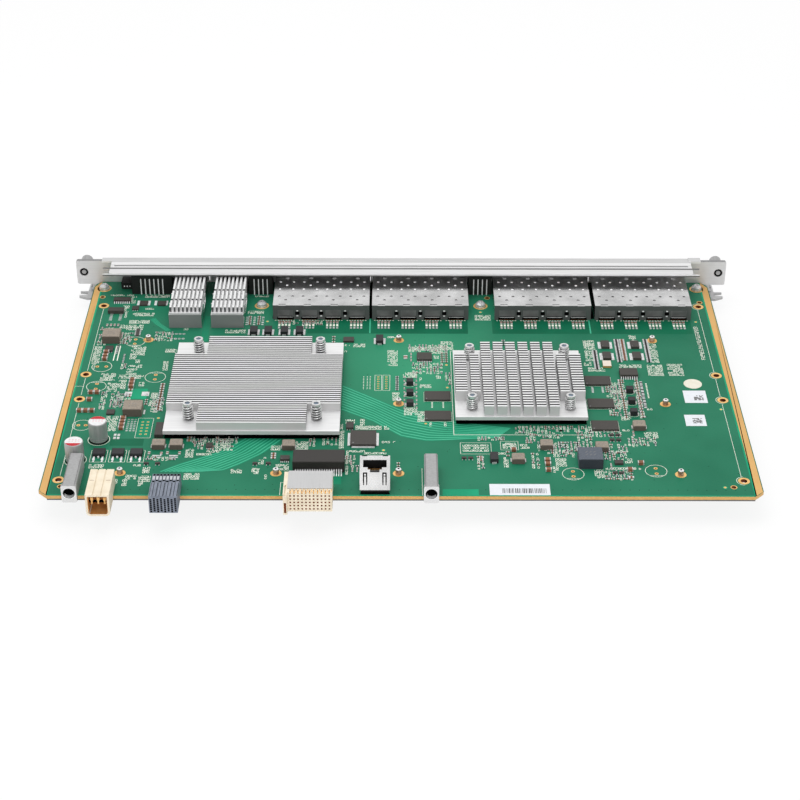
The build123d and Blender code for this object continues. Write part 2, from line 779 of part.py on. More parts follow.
def ganged_cage(centre):
    """Folded sheet cage with four ports side by side, open at the front."""
    ports = [centre + offset for offset in spread(port_count, port_pitch)]
    with BuildPart() as cage:
        with BuildSketch(top_plane()):
            with Locations((centre, cage_rear)):
                Rectangle(cage_width, cage_front - cage_rear, align=(Align.CENTER, Align.MIN))
        extrude(amount=cage_height)
        with BuildSketch(rear_plane(cage_front)):
            with Locations(*[(x, cage_height / 2) for x in ports]):
                Rectangle(port_pitch - cage_wall, cage_height - 2 * cage_wall)
        extrude(amount=cage_front - cage_rear - cage_wall, mode=Mode.SUBTRACT)
        vents = [(x, cage_rear + row) for x in ports for row in vent_centre_rows]
        for offset in (-vent_pair_offset, vent_pair_offset):
            vents += [(x + offset, cage_rear + row) for x in ports for row in vent_pair_rows]
        with BuildSketch(top_plane(cage_height)):
            with Locations(*vents):
                RegularPolygon(vent_radius, vent_sides)
        extrude(amount=-1.5 * cage_wall, mode=Mode.SUBTRACT)
        with BuildSketch(top_plane(cage_height)):
            with Locations(*[(centre + offset, cage_rear) for offset in fold_tab_offsets]):
                Rectangle(fold_tab_width, fold_tab_depth, align=(Align.CENTER, Align.MIN))
        extrude(amount=-fold_tab_sink, mode=Mode.SUBTRACT)
        with BuildSketch(rear_plane(cage_rear)):
            with Locations(*[(x, rear_window_sill) for x in ports]):
                Rectangle(rear_window_width, rear_window_height, align=(Align.CENTER, Align.MIN))
        extrude(amount=-1.5 * cage_wall, mode=Mode.SUBTRACT)
        with BuildSketch(top_plane()):
            with Locations(*[(x, cage_rear + cage_wall) for x in ports]):
                floor_opening_width = port_plug_width + 2 * inner_gap
                Rectangle(floor_opening_width, floor_opening_depth, align=(Align.CENTER, Align.MIN))
        extrude(amount=1.5 * cage_wall, mode=Mode.SUBTRACT)
    return cage


for number, centre in enumerate(cage_centres, start=1):
    save(ganged_cage(centre), f"port_cage_{number}")

# Edge connectors inside the ports, standing on the board through the cage floors
port_centres = [centre + offset for centre in cage_centres for offset in spread(port_count, port_pitch)]
plug_rear = cage_rear + cage_wall + inner_gap
with BuildPart() as port_connectors:
    with BuildSketch(top_plane()):
        with Locations(*[(x, plug_rear) for x in port_centres]):
            Rectangle(port_plug_width, port_plug_depth, align=(Align.CENTER, Align.MIN))
    extrude(amount=port_plug_height)
    with BuildSketch(rear_plane(plug_rear + port_plug_depth)):
        with Locations(*[(x, port_plug_height / 2) for x in port_centres]):
            Rectangle(port_plug_slot_width, port_plug_slot_height)
    extrude(amount=port_plug_slot_depth, mode=Mode.SUBTRACT)
save(port_connectors, "port_connectors")


def wide_cage(centre):
    """Single cage, wider than a port, with a top window under its heat sink."""
    with BuildPart() as cage:
        with BuildSketch(top_plane()):
            with Locations((centre, wide_rear)):
                Rectangle(wide_width, cage_front - wide_rear, align=(Align.CENTER, Align.MIN))
        extrude(amount=wide_height)
        with BuildSketch(rear_plane(cage_front)):
            with Locations((centre, wide_height / 2)):
                Rectangle(wide_width - 2 * wide_wall, wide_height - 2 * wide_wall)
        extrude(amount=cage_front - wide_rear - wide_wall, mode=Mode.SUBTRACT)
        with BuildSketch(top_plane(wide_height)):
            with Locations((centre, wide_sink_rear + wide_sink_length / 2)):
                Rectangle(wide_window_width, wide_window_share * wide_sink_length)
        extrude(amount=-1.5 * wide_wall, mode=Mode.SUBTRACT)
        with BuildSketch(top_plane()):
            with Locations((centre, wide_rear + wide_wall)):
                floor_length = wide_plug_depth + 2 * inner_gap
                Rectangle(wide_plug_width + 2 * inner_gap, floor_length, align=(Align.CENTER, Align.MIN))
        extrude(amount=1.5 * wide_wall, mode=Mode.SUBTRACT)
    return cage


for number, centre in enumerate(wide_centres, start=1):
    save(wide_cage(centre), f"wide_cage_{number}")

# Connectors inside the wide cages
wide_plug_rear = wide_rear + wide_wall + inner_gap
with BuildPart() as wide_connectors:
    with BuildSketch(top_plane()):
        with Locations(*[(x, wide_plug_rear) for x in wide_centres]):
            Rectangle(wide_plug_width, wide_plug_depth, align=(Align.CENTER, Align.MIN))
    extrude(amount=wide_plug_height)
    with BuildSketch(rear_plane(wide_plug_rear + wide_plug_depth)):
        with Locations(*[(x, wide_plug_height / 2) for x in wide_centres]):
            Rectangle(wide_plug_width - 2 * port_plug_slot_height, port_plug_slot_height)
    extrude(amount=port_plug_slot_depth, mode=Mode.SUBTRACT)
save(wide_connectors, "wide_connectors")

# Heat sinks on the wide cages: fins along Y, cut across twice for the clips
wide_sink_top = wide_height + wide_sink_base
wide_fin_pitch = (wide_sink_width - wide_fin_width) / (wide_fin_count - 1)
with BuildPart() as wide_heatsinks:
    with BuildSketch(top_plane(wide_height)):
        with Locations(*[(x, wide_sink_rear) for x in wide_centres]):
            Rectangle(wide_sink_width, wide_sink_length, align=(Align.CENTER, Align.MIN))
    extrude(amount=wide_sink_base)
    with BuildSketch(top_plane(wide_sink_top)):
        for x in wide_centres:
            fin_offsets = spread(wide_fin_count, wide_fin_pitch)
            with Locations(*[(x + offset, wide_rear + wide_fin_setback) for offset in fin_offsets]):
                fin_length = wide_sink_setback + wide_sink_length - wide_fin_setback
                Rectangle(wide_fin_width, fin_length, align=(Align.CENTER, Align.MIN))
            with Locations(*[(x, wide_rear + cut) for cut in wide_cuts]):
                Rectangle(wide_sink_width + 1, wide_cut_width, mode=Mode.SUBTRACT)
    extrude(amount=wide_fin_height)
save(wide_heatsinks, "wide_heatsinks")

# Spring clips: two straps across the sink in its cuts, joined by a rail down each side of the cage
clip_half = wide_width / 2 + clip_gap
with BuildPart() as wide_clips:
    with BuildSketch(top_plane(wide_sink_top)):
        with Locations(*[(x, wide_rear + cut) for x in wide_centres for cut in wide_cuts]):
            Rectangle(2 * (clip_half + clip_strap_thickness), clip_strap_width)
    extrude(amount=clip_strap_thickness)
    leg_low = wide_height - clip_leg_drop
    with BuildSketch(top_plane(leg_low)):
        for x in wide_centres:
            for cut in wide_cuts:
                with Locations((x - clip_half, wide_rear + cut)):
                    Rectangle(clip_strap_thickness, clip_strap_width, align=(Align.MAX, Align.CENTER))
                with Locations((x + clip_half, wide_rear + cut)):
                    Rectangle(clip_strap_thickness, clip_strap_width, align=(Align.MIN, Align.CENTER))
    extrude(amount=wide_sink_top - leg_low)
    rail_length = wide_cuts[1] - wide_cuts[0] + clip_strap_width
    rail_y = wide_rear + (wide_cuts[0] + wide_cuts[1]) / 2
    with BuildSketch(top_plane(leg_low)):
        for x in wide_centres:
            with Locations((x - clip_half, rail_y)):
                Rectangle(clip_strap_thickness, rail_length, align=(Align.MAX, Align.CENTER))
            with Locations((x + clip_half, rail_y)):
                Rectangle(clip_strap_thickness, rail_length, align=(Align.MIN, Align.CENTER))
    extrude(amount=clip_rail_height)
save(wide_clips, "wide_clips")

# Light blocks between the cages, their lenses through the panel and their wire leads
with BuildPart() as light_housings:
    for block_x, block_width, block_leads in light_blocks:
        with BuildSketch(top_plane()):
            with Locations((block_x, light_block_rear)):
                block_depth = light_block_front - light_block_rear
                Rectangle(block_width, block_depth, align=(Align.CENTER, Align.MIN))
        extrude(amount=light_block_height)
save(light_housings, "light_housings")

with BuildPart() as light_lenses:
    with BuildSketch(rear_plane(light_block_front)):
        with Locations(*lens_places):
            RegularPolygon(light_lens_radius, small_sides)
    extrude(amount=-(panel_front + light_lens_proud - light_block_front))
save(light_lenses, "light_lenses")

lead_spots = []
for block_x, block_width, block_leads in light_blocks:
    for offset_x in spread(block_leads, lead_pitch):
        lead_spots.append((block_x + offset_x, light_block_rear))
with BuildPart() as light_leads:
    with BuildSketch(top_plane()):
        with Locations(*lead_spots):
            Rectangle(lead_wire, lead_wire, align=(Align.CENTER, Align.MAX))
    extrude(amount=light_block_height - lead_drop)
save(light_leads, "light_leads")

# Reset switch and its sliding button
with BuildPart() as reset_switch:
    with BuildSketch(top_plane()):
        with Locations((switch_x, switch_rear)):
            Rectangle(switch_width, switch_front - switch_rear, align=(Align.CENTER, Align.MIN))
    extrude(amount=switch_height)
    with BuildSketch(rear_plane(switch_front)):
        with Locations((switch_x, button_z)):
            RegularPolygon(button_radius + button_fit, small_sides)
    extrude(amount=button_seat_depth + button_travel, mode=Mode.SUBTRACT)
save(reset_switch, "reset_switch")

with BuildPart() as reset_button:
    with BuildSketch(rear_plane(panel_front + button_proud)):
        with Locations((switch_x, button_z)):
            RegularPolygon(button_radius, small_sides)
    extrude(amount=panel_front + button_proud - switch_front + button_seat_depth - button_end_gap)
    button_rims = reset_button.edges().group_by(Axis.Y)[-1]
    chamfer(button_rims, button_end_gap)
save(reset_button, "reset_button")

# Large heat sink: fins along X, four corners left flat for the spring screws
with BuildPart() as big_heatsink:
    with BuildSketch(top_plane(sink_underside)):
        with Locations((big_sink_x, big_sink_y)):
            Rectangle(big_sink_size, big_sink_size)
        with Locations(*big_screw_spots):
            RegularPolygon(spring_screw_shank_radius + sink_screw_fit, hidden_sides, mode=Mode.SUBTRACT)
    extrude(amount=big_sink_base)
    with BuildSketch(top_plane(sink_underside + big_sink_base)):
        for offset_y in spread(big_fin_count, big_fin_pitch):
            full = abs(offset_y) + big_fin_width / 2 < big_sink_size / 2 - big_notch_y
            fin_length = big_sink_size if full else big_sink_size - 2 * big_notch_x
            with Locations((big_sink_x, big_sink_y + offset_y)):
                Rectangle(fin_length, big_fin_width)
    extrude(amount=big_fin_height)
save(big_heatsink, "big_heatsink")

# Small heat sink: rows of short fins, cut across into columns
with BuildPart() as small_heatsink:
    with BuildSketch(top_plane(sink_underside)):
        with Locations((small_sink_x, small_sink_y)):
            Rectangle(small_sink_size, small_sink_size)
        with Locations(*small_screw_spots):
            RegularPolygon(spring_screw_shank_radius + sink_screw_fit, hidden_sides, mode=Mode.SUBTRACT)
    extrude(amount=small_sink_base)
    with BuildSketch(top_plane(sink_underside + small_sink_base)):
        for offset_y in spread(small_fin_rows, small_fin_pitch):
            row_y = small_sink_y + offset_y
            column_offsets = spread(small_fin_columns, small_column_pitch)
            with Locations(*[(small_sink_x + offset_x, row_y) for offset_x in column_offsets]):
                Rectangle(small_column_width, small_fin_width)
            low_enough = offset_y - small_fin_width / 2 > small_notch_near - small_sink_size / 2
            high_enough = offset_y + small_fin_width / 2 < small_sink_size / 2 - small_notch_far
            if low_enough and high_enough:
                for column_x, column_width in small_side_columns:
                    with Locations((small_sink_x - column_x, row_y), (small_sink_x + column_x, row_y)):
                        Rectangle(column_width, small_fin_width)
    extrude(amount=small_fin_height)
save(small_heatsink, "small_heatsink")

# Chips under the heat sinks: substrate, lid and thermal pad
chip_top = sink_underside - thermal_pad_thickness
with BuildPart() as sink_chips:
    for chip_x, chip_y, chip_size in (
        (big_sink_x, big_sink_y, big_chip_size), (small_sink_x, small_sink_y, small_chip_size)
    ):
        with BuildSketch(top_plane()):
            with Locations((chip_x, chip_y)):
                Rectangle(chip_size, chip_size)
        extrude(amount=chip_substrate_height)
        with BuildSketch(top_plane(chip_substrate_height)):
            with Locations((chip_x, chip_y)):
                Rectangle(chip_size - 2 * chip_lid_margin, chip_size - 2 * chip_lid_margin)
        extrude(amount=chip_top - chip_substrate_height)
save(sink_chips, "sink_chips")

with BuildPart() as thermal_pads:
    with BuildSketch(top_plane(chip_top)):
        with Locations((big_sink_x, big_sink_y)):
            Rectangle(big_chip_size - 2 * chip_lid_margin, big_chip_size - 2 * chip_lid_margin)
        with Locations((small_sink_x, small_sink_y)):
            Rectangle(small_chip_size - 2 * chip_lid_margin, small_chip_size - 2 * chip_lid_margin)
    extrude(amount=thermal_pad_thickness)
save(thermal_pads, "thermal_pads")

# Spring screws of both heat sinks
screw_groups = (
    (big_screw_spots, big_screw_top, big_sink_base),
    (small_screw_spots, small_screw_top, small_sink_base),
)
with BuildPart() as heatsink_screws:
    for spots, head_top, sink_base in screw_groups:
        with BuildSketch(top_plane(-board_thickness - spring_screw_below)):
            with Locations(*spots):
                RegularPolygon(spring_screw_shank_radius, hidden_sides)
        extrude(amount=head_top + board_thickness + spring_screw_below)
        with BuildSketch(top_plane(head_top)):
            with Locations(*spots):
                RegularPolygon(spring_screw_head_radius, small_sides)
        extrude(amount=-spring_screw_head)
        with BuildSketch(top_plane(head_top)):
            with Locations(*spots):
                RegularPolygon(spring_socket_radius, hidden_sides)
        extrude(amount=-spring_socket_depth, mode=Mode.SUBTRACT)
save(heatsink_screws, "heatsink_screws")

with BuildPart() as heatsink_springs:
    for spots, head_top, sink_base in screw_groups:
        spring_foot = sink_underside + sink_base
        with BuildSketch(top_plane(spring_foot)):
            with Locations(*spots):
                RegularPolygon(spring_outer_radius, hidden_sides)
                RegularPolygon(spring_bore_radius, hidden_sides, mode=Mode.SUBTRACT)
        extrude(amount=head_top - spring_screw_head - spring_foot)
save(heatsink_springs, "heatsink_springs")


def guide_socket(centre):
    """Guide socket at the rear edge: block with a slightly wider collar and a round blind bore."""
    with BuildPart() as socket:
        with BuildSketch(top_plane()):
            with Locations((centre, guide_front)):
                Rectangle(guide_width, guide_length, align=(Align.CENTER, Align.MIN))
        extrude(amount=guide_height)
        top_edges = socket.edges().filter_by(Axis.Y).group_by(Axis.Z)[-1]
        chamfer(top_edges, guide_edge_chamfer)
        with BuildSketch(rear_plane(guide_front)) as collar:
            with Locations((centre, -guide_collar_drop)):
                collar_width = guide_width + 2 * guide_collar_step
                collar_height = guide_height + guide_collar_step + guide_collar_drop
                Rectangle(collar_width, collar_height, align=(Align.CENTER, Align.MIN))
            chamfer(collar.vertices(), guide_edge_chamfer)
        extrude(amount=-guide_collar_length)
        with BuildSketch(rear_plane(guide_front)):
            with Locations((centre, guide_bore_z)):
                Circle(guide_bore_radius)
        extrude(amount=-guide_bore_depth, mode=Mode.SUBTRACT)
        mouth = socket.edges().filter_by(GeomType.CIRCLE).group_by(Axis.Y)[0].sort_by(Edge.length)[-1]
        chamfer(mouth, guide_mouth_chamfer)
    return socket


guide_socket_left = guide_socket(guide_spots[0])
save(guide_socket_left, "guide_socket_left")
guide_socket_right = guide_socket(guide_spots[1])
save(guide_socket_right, "guide_socket_right")

# Power connector: deep rounded shroud past the board's edge, ribbed top
with BuildPart() as power_connector:
    with BuildSketch(rear_plane(power_front)) as shroud:
        with Locations((power_x, power_bottom)):
            Rectangle(power_width, power_top - power_bottom, align=(Align.CENTER, Align.MIN))
        fillet(shroud.vertices().group_by(Axis.Y)[0], power_corner_radius)
    extrude(amount=power_front + edge_gap)
    with BuildSketch(top_plane()):
        with Locations((power_x, -edge_gap)):
            Rectangle(power_width, power_rear + edge_gap, align=(Align.CENTER, Align.MIN))
    extrude(amount=power_top)
    with BuildSketch(rear_plane(power_front)) as cavity:
        with Locations((power_x, power_bottom + power_wall)):
            cavity_height = power_top - power_bottom - 2 * power_wall
            Rectangle(power_width - 2 * power_wall, cavity_height, align=(Align.CENTER, Align.MIN))
        fillet(cavity.vertices().group_by(Axis.Y)[0], power_corner_radius - power_wall)
    extrude(amount=-power_cavity_depth, mode=Mode.SUBTRACT)
    with BuildSketch(top_plane(power_top)):
        power_grooves = [power_x - power_groove_offset, power_x + power_groove_offset]
        with Locations(*[(x, (power_front + power_rear) / 2) for x in power_grooves]):
            Rectangle(power_groove_width, power_rear - power_front)
    extrude(amount=-power_groove_depth, mode=Mode.SUBTRACT)
save(power_connector, "power_connector")

# Blades in the power connector, hooked down at the tip
blade_root = power_front + power_cavity_depth
with BuildPart() as power_blades:
    for offset_x in spread(blade_count, blade_pitch):
        with BuildSketch(side_plane(power_x + offset_x)):
            with BuildLine():
                Polyline(
                    (blade_root, blade_z + blade_thickness),
                    (blade_root - blade_length, blade_z + blade_thickness),
                    (blade_root - blade_length, blade_z - blade_thickness),
                    (blade_root - blade_length + blade_thickness, blade_z - blade_thickness),
                    (blade_root - blade_length + blade_thickness, blade_z),
                    (blade_root, blade_z),
                    close=True,
                )
            make_face()
        extrude(amount=blade_width / 2, both=True)
save(power_blades, "power_blades")

# Grey signal connector: ribbed columns of square contact holes, staggered by half a pitch
signal_width = signal_columns * signal_column_pitch + signal_rib_gap
signal_offsets = spread(signal_columns, signal_column_pitch)
with BuildPart() as signal_connector:
    with BuildSketch(side_plane(signal_x)):
        with BuildLine():
            Polyline(
                (signal_front, signal_bottom),
                (signal_front, signal_top),
                (signal_step_y, signal_top),
                (signal_step_y, signal_top - signal_step_drop),
                (signal_rear, signal_top - signal_step_drop),
                (signal_rear, 0),
                (-edge_gap, 0),
                (-edge_gap, signal_bottom),
                close=True,
            )
        make_face()
    extrude(amount=signal_width / 2, both=True)
    with BuildSketch(rear_plane(signal_front)):
        for column, offset_x in enumerate(signal_offsets):
            lift = signal_stagger if column % 2 else 0.0
            first_z = signal_bottom + signal_row_pitch + lift - signal_hole / 2
            hole_heights = [first_z + row * signal_row_pitch for row in range(signal_rows)]
            with Locations(*[(signal_x + offset_x, z) for z in hole_heights]):
                Rectangle(signal_hole, signal_hole)
    extrude(amount=-signal_hole_depth, mode=Mode.SUBTRACT)
    rib_lines = [(offset + signal_column_pitch / 2) for offset in signal_offsets[:-1]]
    with BuildSketch(top_plane(signal_top)):
        with Locations(*[(signal_x + offset, signal_front) for offset in rib_lines]):
            Rectangle(signal_rib_gap, signal_rear - signal_front, align=(Align.CENTER, Align.MIN))
    extrude(amount=-signal_rib_depth, mode=Mode.SUBTRACT)
save(signal_connector, "signal_connector")

# Backplane connector on a 2 mm grid, with a guide wing and top slots
hm_body_middle = (hm_left + hm_right) / 2
with BuildPart() as grid_connector:
    with BuildSketch(side_plane(hm_body_middle)):
        with BuildLine():
            Polyline(
                (hm_front, hm_bottom),
                (hm_front, hm_top),
                (hm_rear, hm_top),
                (hm_rear, 0),
                (-edge_gap, 0),
                (-edge_gap, hm_bottom),
                close=True,
            )
        make_face()
    extrude(amount=(hm_right - hm_left) / 2, both=True)
    with BuildSketch(side_plane((hm_wing_left + hm_left) / 2)):
        with BuildLine():
            Polyline(
                (hm_wing_front, hm_wing_bottom),
                (hm_wing_front, hm_top),
                (hm_rear, hm_top),
                (hm_rear, 0),
                (-edge_gap, 0),
                (-edge_gap, hm_wing_bottom),
                close=True,
            )
        make_face()
    extrude(amount=(hm_left - hm_wing_left) / 2, both=True)
    with BuildSketch(rear_plane(hm_wing_front)):
        with Locations(((hm_wing_left + hm_left) / 2, hm_wing_bottom + hm_wing_recess_sill)):
            Rectangle(hm_wing_recess_width, hm_wing_recess_height, align=(Align.CENTER, Align.MIN))
    extrude(amount=-hm_wing_recess_depth, mode=Mode.SUBTRACT)
    with BuildSketch(rear_plane(hm_front)):
        for column in range(hm_columns):
            column_x = hm_first_x + column * hm_pitch
            with Locations(*[(column_x, hm_first_z - row * hm_pitch) for row in range(hm_rows)]):
                Rectangle(hm_hole, hm_hole)
    extrude(amount=-hm_hole_depth, mode=Mode.SUBTRACT)
    with BuildSketch(top_plane(hm_top)):
        with Locations(*[(hm_first_x + column * hm_pitch, hm_front) for column in range(hm_columns)]):
            Rectangle(hm_slot_width, hm_slot_length, align=(Align.CENTER, Align.MIN))
        with Locations(((hm_wing_left + hm_left) / 2, hm_wing_front)):
            Rectangle(hm_wing_slot_width, hm_wing_slot_depth, align=(Align.CENTER, Align.MIN))
    extrude(amount=-hm_slot_depth, mode=Mode.SUBTRACT)
save(grid_connector, "grid_connector")

# Metal shield on the backplane connector
with BuildPart() as grid_shield:
    with BuildSketch(side_plane(hm_body_middle)):
        with BuildLine():
            Polyline(
                (hm_shield_front, hm_top),
                (hm_shield_front, hm_top + hm_shield_thickness),
                (hm_rear + hm_shield_thickness, hm_top + hm_shield_thickness),
                (hm_rear + hm_shield_thickness, hm_shield_foot),
                (hm_rear, hm_shield_foot),
                (hm_rear, hm_top),
                close=True,
            )
        make_face()
    extrude(amount=(hm_right - hm_left) / 2, both=True)
save(grid_shield, "grid_shield")

# Upright network jack: metal shell with two spring fingers, plastic insert with the well
jack_y = jack_front + jack_depth / 2
well_front = jack_opening_y - jack_opening_depth / 2
with BuildPart() as jack_shell:
    with BuildSketch(top_plane(jack_shell_foot)):
        with Locations((jack_x, jack_y)):
            Rectangle(jack_width, jack_depth)
    extrude(amount=jack_height - jack_shell_foot)
    with BuildSketch(top_plane(jack_shell_foot)):
        with Locations((jack_x, jack_y)):
            Rectangle(jack_width - 2 * jack_shell_wall, jack_depth - 2 * jack_shell_wall)
    extrude(amount=jack_height - jack_shell_foot - jack_shell_wall, mode=Mode.SUBTRACT)
    with BuildSketch(top_plane(jack_height)):
        with Locations((jack_x, jack_opening_y)):
            Rectangle(jack_opening_width, jack_opening_depth)
        with Locations((jack_x, well_front)):
            Rectangle(jack_latch_width, jack_latch_depth, align=(Align.CENTER, Align.MAX))
        with Locations((jack_x, jack_front)):
            Rectangle(jack_slot_width, well_front - jack_front, align=(Align.CENTER, Align.MIN))
    extrude(amount=-1.5 * jack_shell_wall, mode=Mode.SUBTRACT)
    with BuildSketch(rear_plane(jack_front)):
        for side in (-1, 1):
            finger_x = jack_x + side * jack_finger_x
            slot_offset = (jack_finger_width + jack_finger_slot) / 2
            for slot_x in (finger_x - slot_offset, finger_x + slot_offset):
                with Locations((slot_x, jack_finger_top)):
                    Rectangle(jack_finger_slot, jack_finger_length, align=(Align.CENTER, Align.MAX))
            with Locations((finger_x, jack_finger_top)):
                Rectangle(jack_finger_width, jack_finger_gap, align=(Align.CENTER, Align.MAX))
    extrude(amount=-1.5 * jack_shell_wall, mode=Mode.SUBTRACT)
save(jack_shell, "jack_shell")

insert_inset = jack_shell_wall + inner_gap
with BuildPart() as jack_insert:
    with BuildSketch(top_plane()):
        with Locations((jack_x, jack_y)):
            Rectangle(jack_width - 2 * insert_inset, jack_depth - 2 * insert_inset)
    extrude(amount=jack_height - jack_shell_wall)
    with BuildSketch(top_plane(jack_height - jack_shell_wall)):
        with Locations((jack_x, jack_opening_y)):
            Rectangle(jack_opening_width, jack_opening_depth)
        with Locations((jack_x, well_front)):
            Rectangle(jack_latch_width, jack_latch_depth, align=(Align.CENTER, Align.MAX))
    extrude(amount=-jack_well_depth, mode=Mode.SUBTRACT)
save(jack_insert, "jack_insert")


def lead_rows(rows, count, pitch, width, reach, thickness):
    """Gull-wing leads on the near side of packages; a row is that side's middle and the lead height."""
    with BuildPart() as leads:
        for x, y, height in rows:
            for offset_x in spread(count, pitch):
                with BuildSketch(side_plane(x + offset_x)):
                    with BuildLine():
                        Polyline(
                            (y, height),
                            (y - reach / 2, height),
                            (y - reach / 2 - thickness, thickness),
                            (y - reach, thickness),
                            (y - reach, 0),
                            (y - reach / 2, 0),
                            (y - reach / 2 + thickness, height - thickness),
                            (y, height - thickness),
                            close=True,
                        )
                    make_face()
                extrude(amount=width / 2, both=True)
    return leads


# Network transformer module and its near row of leads
with BuildPart() as transformer_module:
    with BuildSketch(top_plane()):
        with Locations(transformer_spot):
            Rectangle(transformer_size[0], transformer_size[1])
    extrude(amount=transformer_size[2])
    module_rims = transformer_module.edges().group_by(Axis.Z)[-1]
    chamfer(module_rims, package_chamfer)
save(transformer_module, "transformer_module")

transformer_near_side = transformer_spot[1] - transformer_size[1] / 2
transformer_leads = lead_rows(
    [(transformer_spot[0], transformer_near_side, transformer_lead_height)],
    transformer_lead_count,
    transformer_lead_pitch,
    transformer_lead_width,
    transformer_lead_reach,
    transformer_lead_thickness,
)
save(transformer_leads, "transformer_leads")

# Memory chips
with BuildPart() as memory_chips:
    with BuildSketch(top_plane()):
        with Locations(*memory_spots):
            Rectangle(memory_size[0], memory_size[1])
    extrude(amount=memory_size[2])
save(memory_chips, "memory_chips")

# Logic packages of all sizes
with BuildPart() as logic_chips:
    for spot, size in logic_packages:
        with BuildSketch(top_plane()):
            with Locations(spot):
                Rectangle(size[0], size[1])
        extrude(amount=size[2])
    for spot, width, depth, height in wide_logic:
        with BuildSketch(top_plane()):
            with Locations(spot):
                Rectangle(width, depth)
        extrude(amount=height)
save(logic_chips, "logic_chips")

logic_leads = lead_rows(
    [(spot[0], spot[1] - depth / 2, height / 2) for spot, width, depth, height in wide_logic],
    logic_lead_count,
    logic_lead_pitch,
    logic_lead_width,
    logic_lead_reach,
    logic_lead_thickness,
)
save(logic_leads, "logic_leads")


def chamfered_blocks(spots, size):
    """Blocks of one size standing on the board, corners and rim broken."""
    with BuildPart() as blocks:
        with BuildSketch(top_plane()):
            with Locations(*spots):
                Rectangle(size[0], size[1])
        extrude(amount=size[2])
        chamfer(blocks.edges().filter_by(Axis.Z), inductor_chamfer)
        chamfer(blocks.edges().group_by(Axis.Z)[-1], package_chamfer)
    return blocks


small_inductors = chamfered_blocks(small_inductor_spots, small_inductor_size)
save(small_inductors, "small_inductors")
medium_inductors = chamfered_blocks(medium_inductor_spots, medium_inductor_size)
save(medium_inductors, "medium_inductors")
large_inductor = chamfered_blocks((large_inductor_spot,), large_inductor_size)
save(large_inductor, "large_inductor")

# Black chokes and tantalum blocks
with BuildPart() as chokes:
    with BuildSketch(top_plane()):
        with Locations(*choke_spots):
            Rectangle(choke_size[0], choke_size[1])
    extrude(amount=choke_size[2])
    with BuildSketch(top_plane()):
        with Locations(*tantalum_spots):
            Rectangle(tantalum_size[0], tantalum_size[1])
    extrude(amount=tantalum_size[2])
save(chokes, "chokes")

# Electrolytic cans: rolled groove above a narrower rubber foot
with BuildPart() as can_feet:
    with BuildSketch(top_plane()):
        with Locations(*can_spots):
            RegularPolygon(can_radius - can_foot_inset, can_sides)
    extrude(amount=can_foot_height)
save(can_feet, "can_feet")

with BuildPart() as electrolytic_cans:
    with BuildSketch(top_plane(can_foot_height)):
        with Locations(*can_spots):
            RegularPolygon(can_radius, can_sides)
    extrude(amount=can_height - can_foot_height)
    can_rims = electrolytic_cans.edges().group_by(Axis.Z)[-1]
    chamfer(can_rims, can_groove_depth)
    with BuildSketch(top_plane(can_groove_z)):
        with Locations(*can_spots):
            RegularPolygon(can_radius, can_sides)
            RegularPolygon(can_radius - can_groove_depth, can_sides, mode=Mode.SUBTRACT)
    extrude(amount=can_groove_width, mode=Mode.SUBTRACT)
save(electrolytic_cans, "electrolytic_cans")

# Power transistors and their two near leads
with BuildPart() as power_transistors:
    with BuildSketch(top_plane()):
        with Locations(*transistor_spots):
            Rectangle(transistor_size[0], transistor_size[1])
    extrude(amount=transistor_size[2])
    chamfer(power_transistors.edges().group_by(Axis.Z)[-1], package_chamfer)
save(power_transistors, "power_transistors")

with BuildPart() as transistor_leads:
    for spot_x, spot_y in transistor_spots:
        lead_front = spot_y - transistor_size[1] / 2
        for side in (-1, 1):
            with BuildSketch(top_plane()):
                with Locations((spot_x + side * transistor_lead_spread, lead_front)):
                    Rectangle(transistor_lead_width, transistor_lead_reach, align=(Align.CENTER, Align.MAX))
            extrude(amount=transistor_lead_thickness)
save(transistor_leads, "transistor_leads")

# Ceramic capacitors and the crystal can
with BuildPart() as ceramic_capacitors:
    with BuildSketch(top_plane()):
        with Locations(*ceramic_spots):
            Rectangle(ceramic_size[0], ceramic_size[1])
    extrude(amount=ceramic_size[2])
save(ceramic_capacitors, "ceramic_capacitors")

with BuildPart() as crystal:
    with BuildSketch(top_plane()):
        with Locations(crystal_spot):
            Rectangle(crystal_size[0], crystal_size[1])
    extrude(amount=crystal_size[2])
save(crystal, "crystal")
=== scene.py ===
import math
import random

import bpy
from mathutils import Matrix, Vector


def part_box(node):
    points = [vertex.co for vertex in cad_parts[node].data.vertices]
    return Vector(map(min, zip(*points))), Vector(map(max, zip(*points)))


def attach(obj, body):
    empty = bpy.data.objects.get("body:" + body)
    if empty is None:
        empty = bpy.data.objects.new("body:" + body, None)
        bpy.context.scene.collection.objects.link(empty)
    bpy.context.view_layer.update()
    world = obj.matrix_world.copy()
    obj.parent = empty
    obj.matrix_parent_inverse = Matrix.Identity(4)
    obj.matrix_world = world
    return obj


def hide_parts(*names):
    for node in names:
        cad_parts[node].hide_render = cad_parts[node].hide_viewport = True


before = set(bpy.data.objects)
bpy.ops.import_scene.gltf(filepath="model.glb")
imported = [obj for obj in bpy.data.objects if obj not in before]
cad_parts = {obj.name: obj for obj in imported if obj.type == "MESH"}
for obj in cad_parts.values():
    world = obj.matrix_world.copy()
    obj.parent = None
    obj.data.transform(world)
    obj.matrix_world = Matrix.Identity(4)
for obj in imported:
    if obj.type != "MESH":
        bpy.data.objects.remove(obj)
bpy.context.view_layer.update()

# Switch line card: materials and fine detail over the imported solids.
# Detail is given in the board frame: millimetres, X from the card's middle, Y from the board's rear
# edge towards the front panel, Z up from the board's top face.

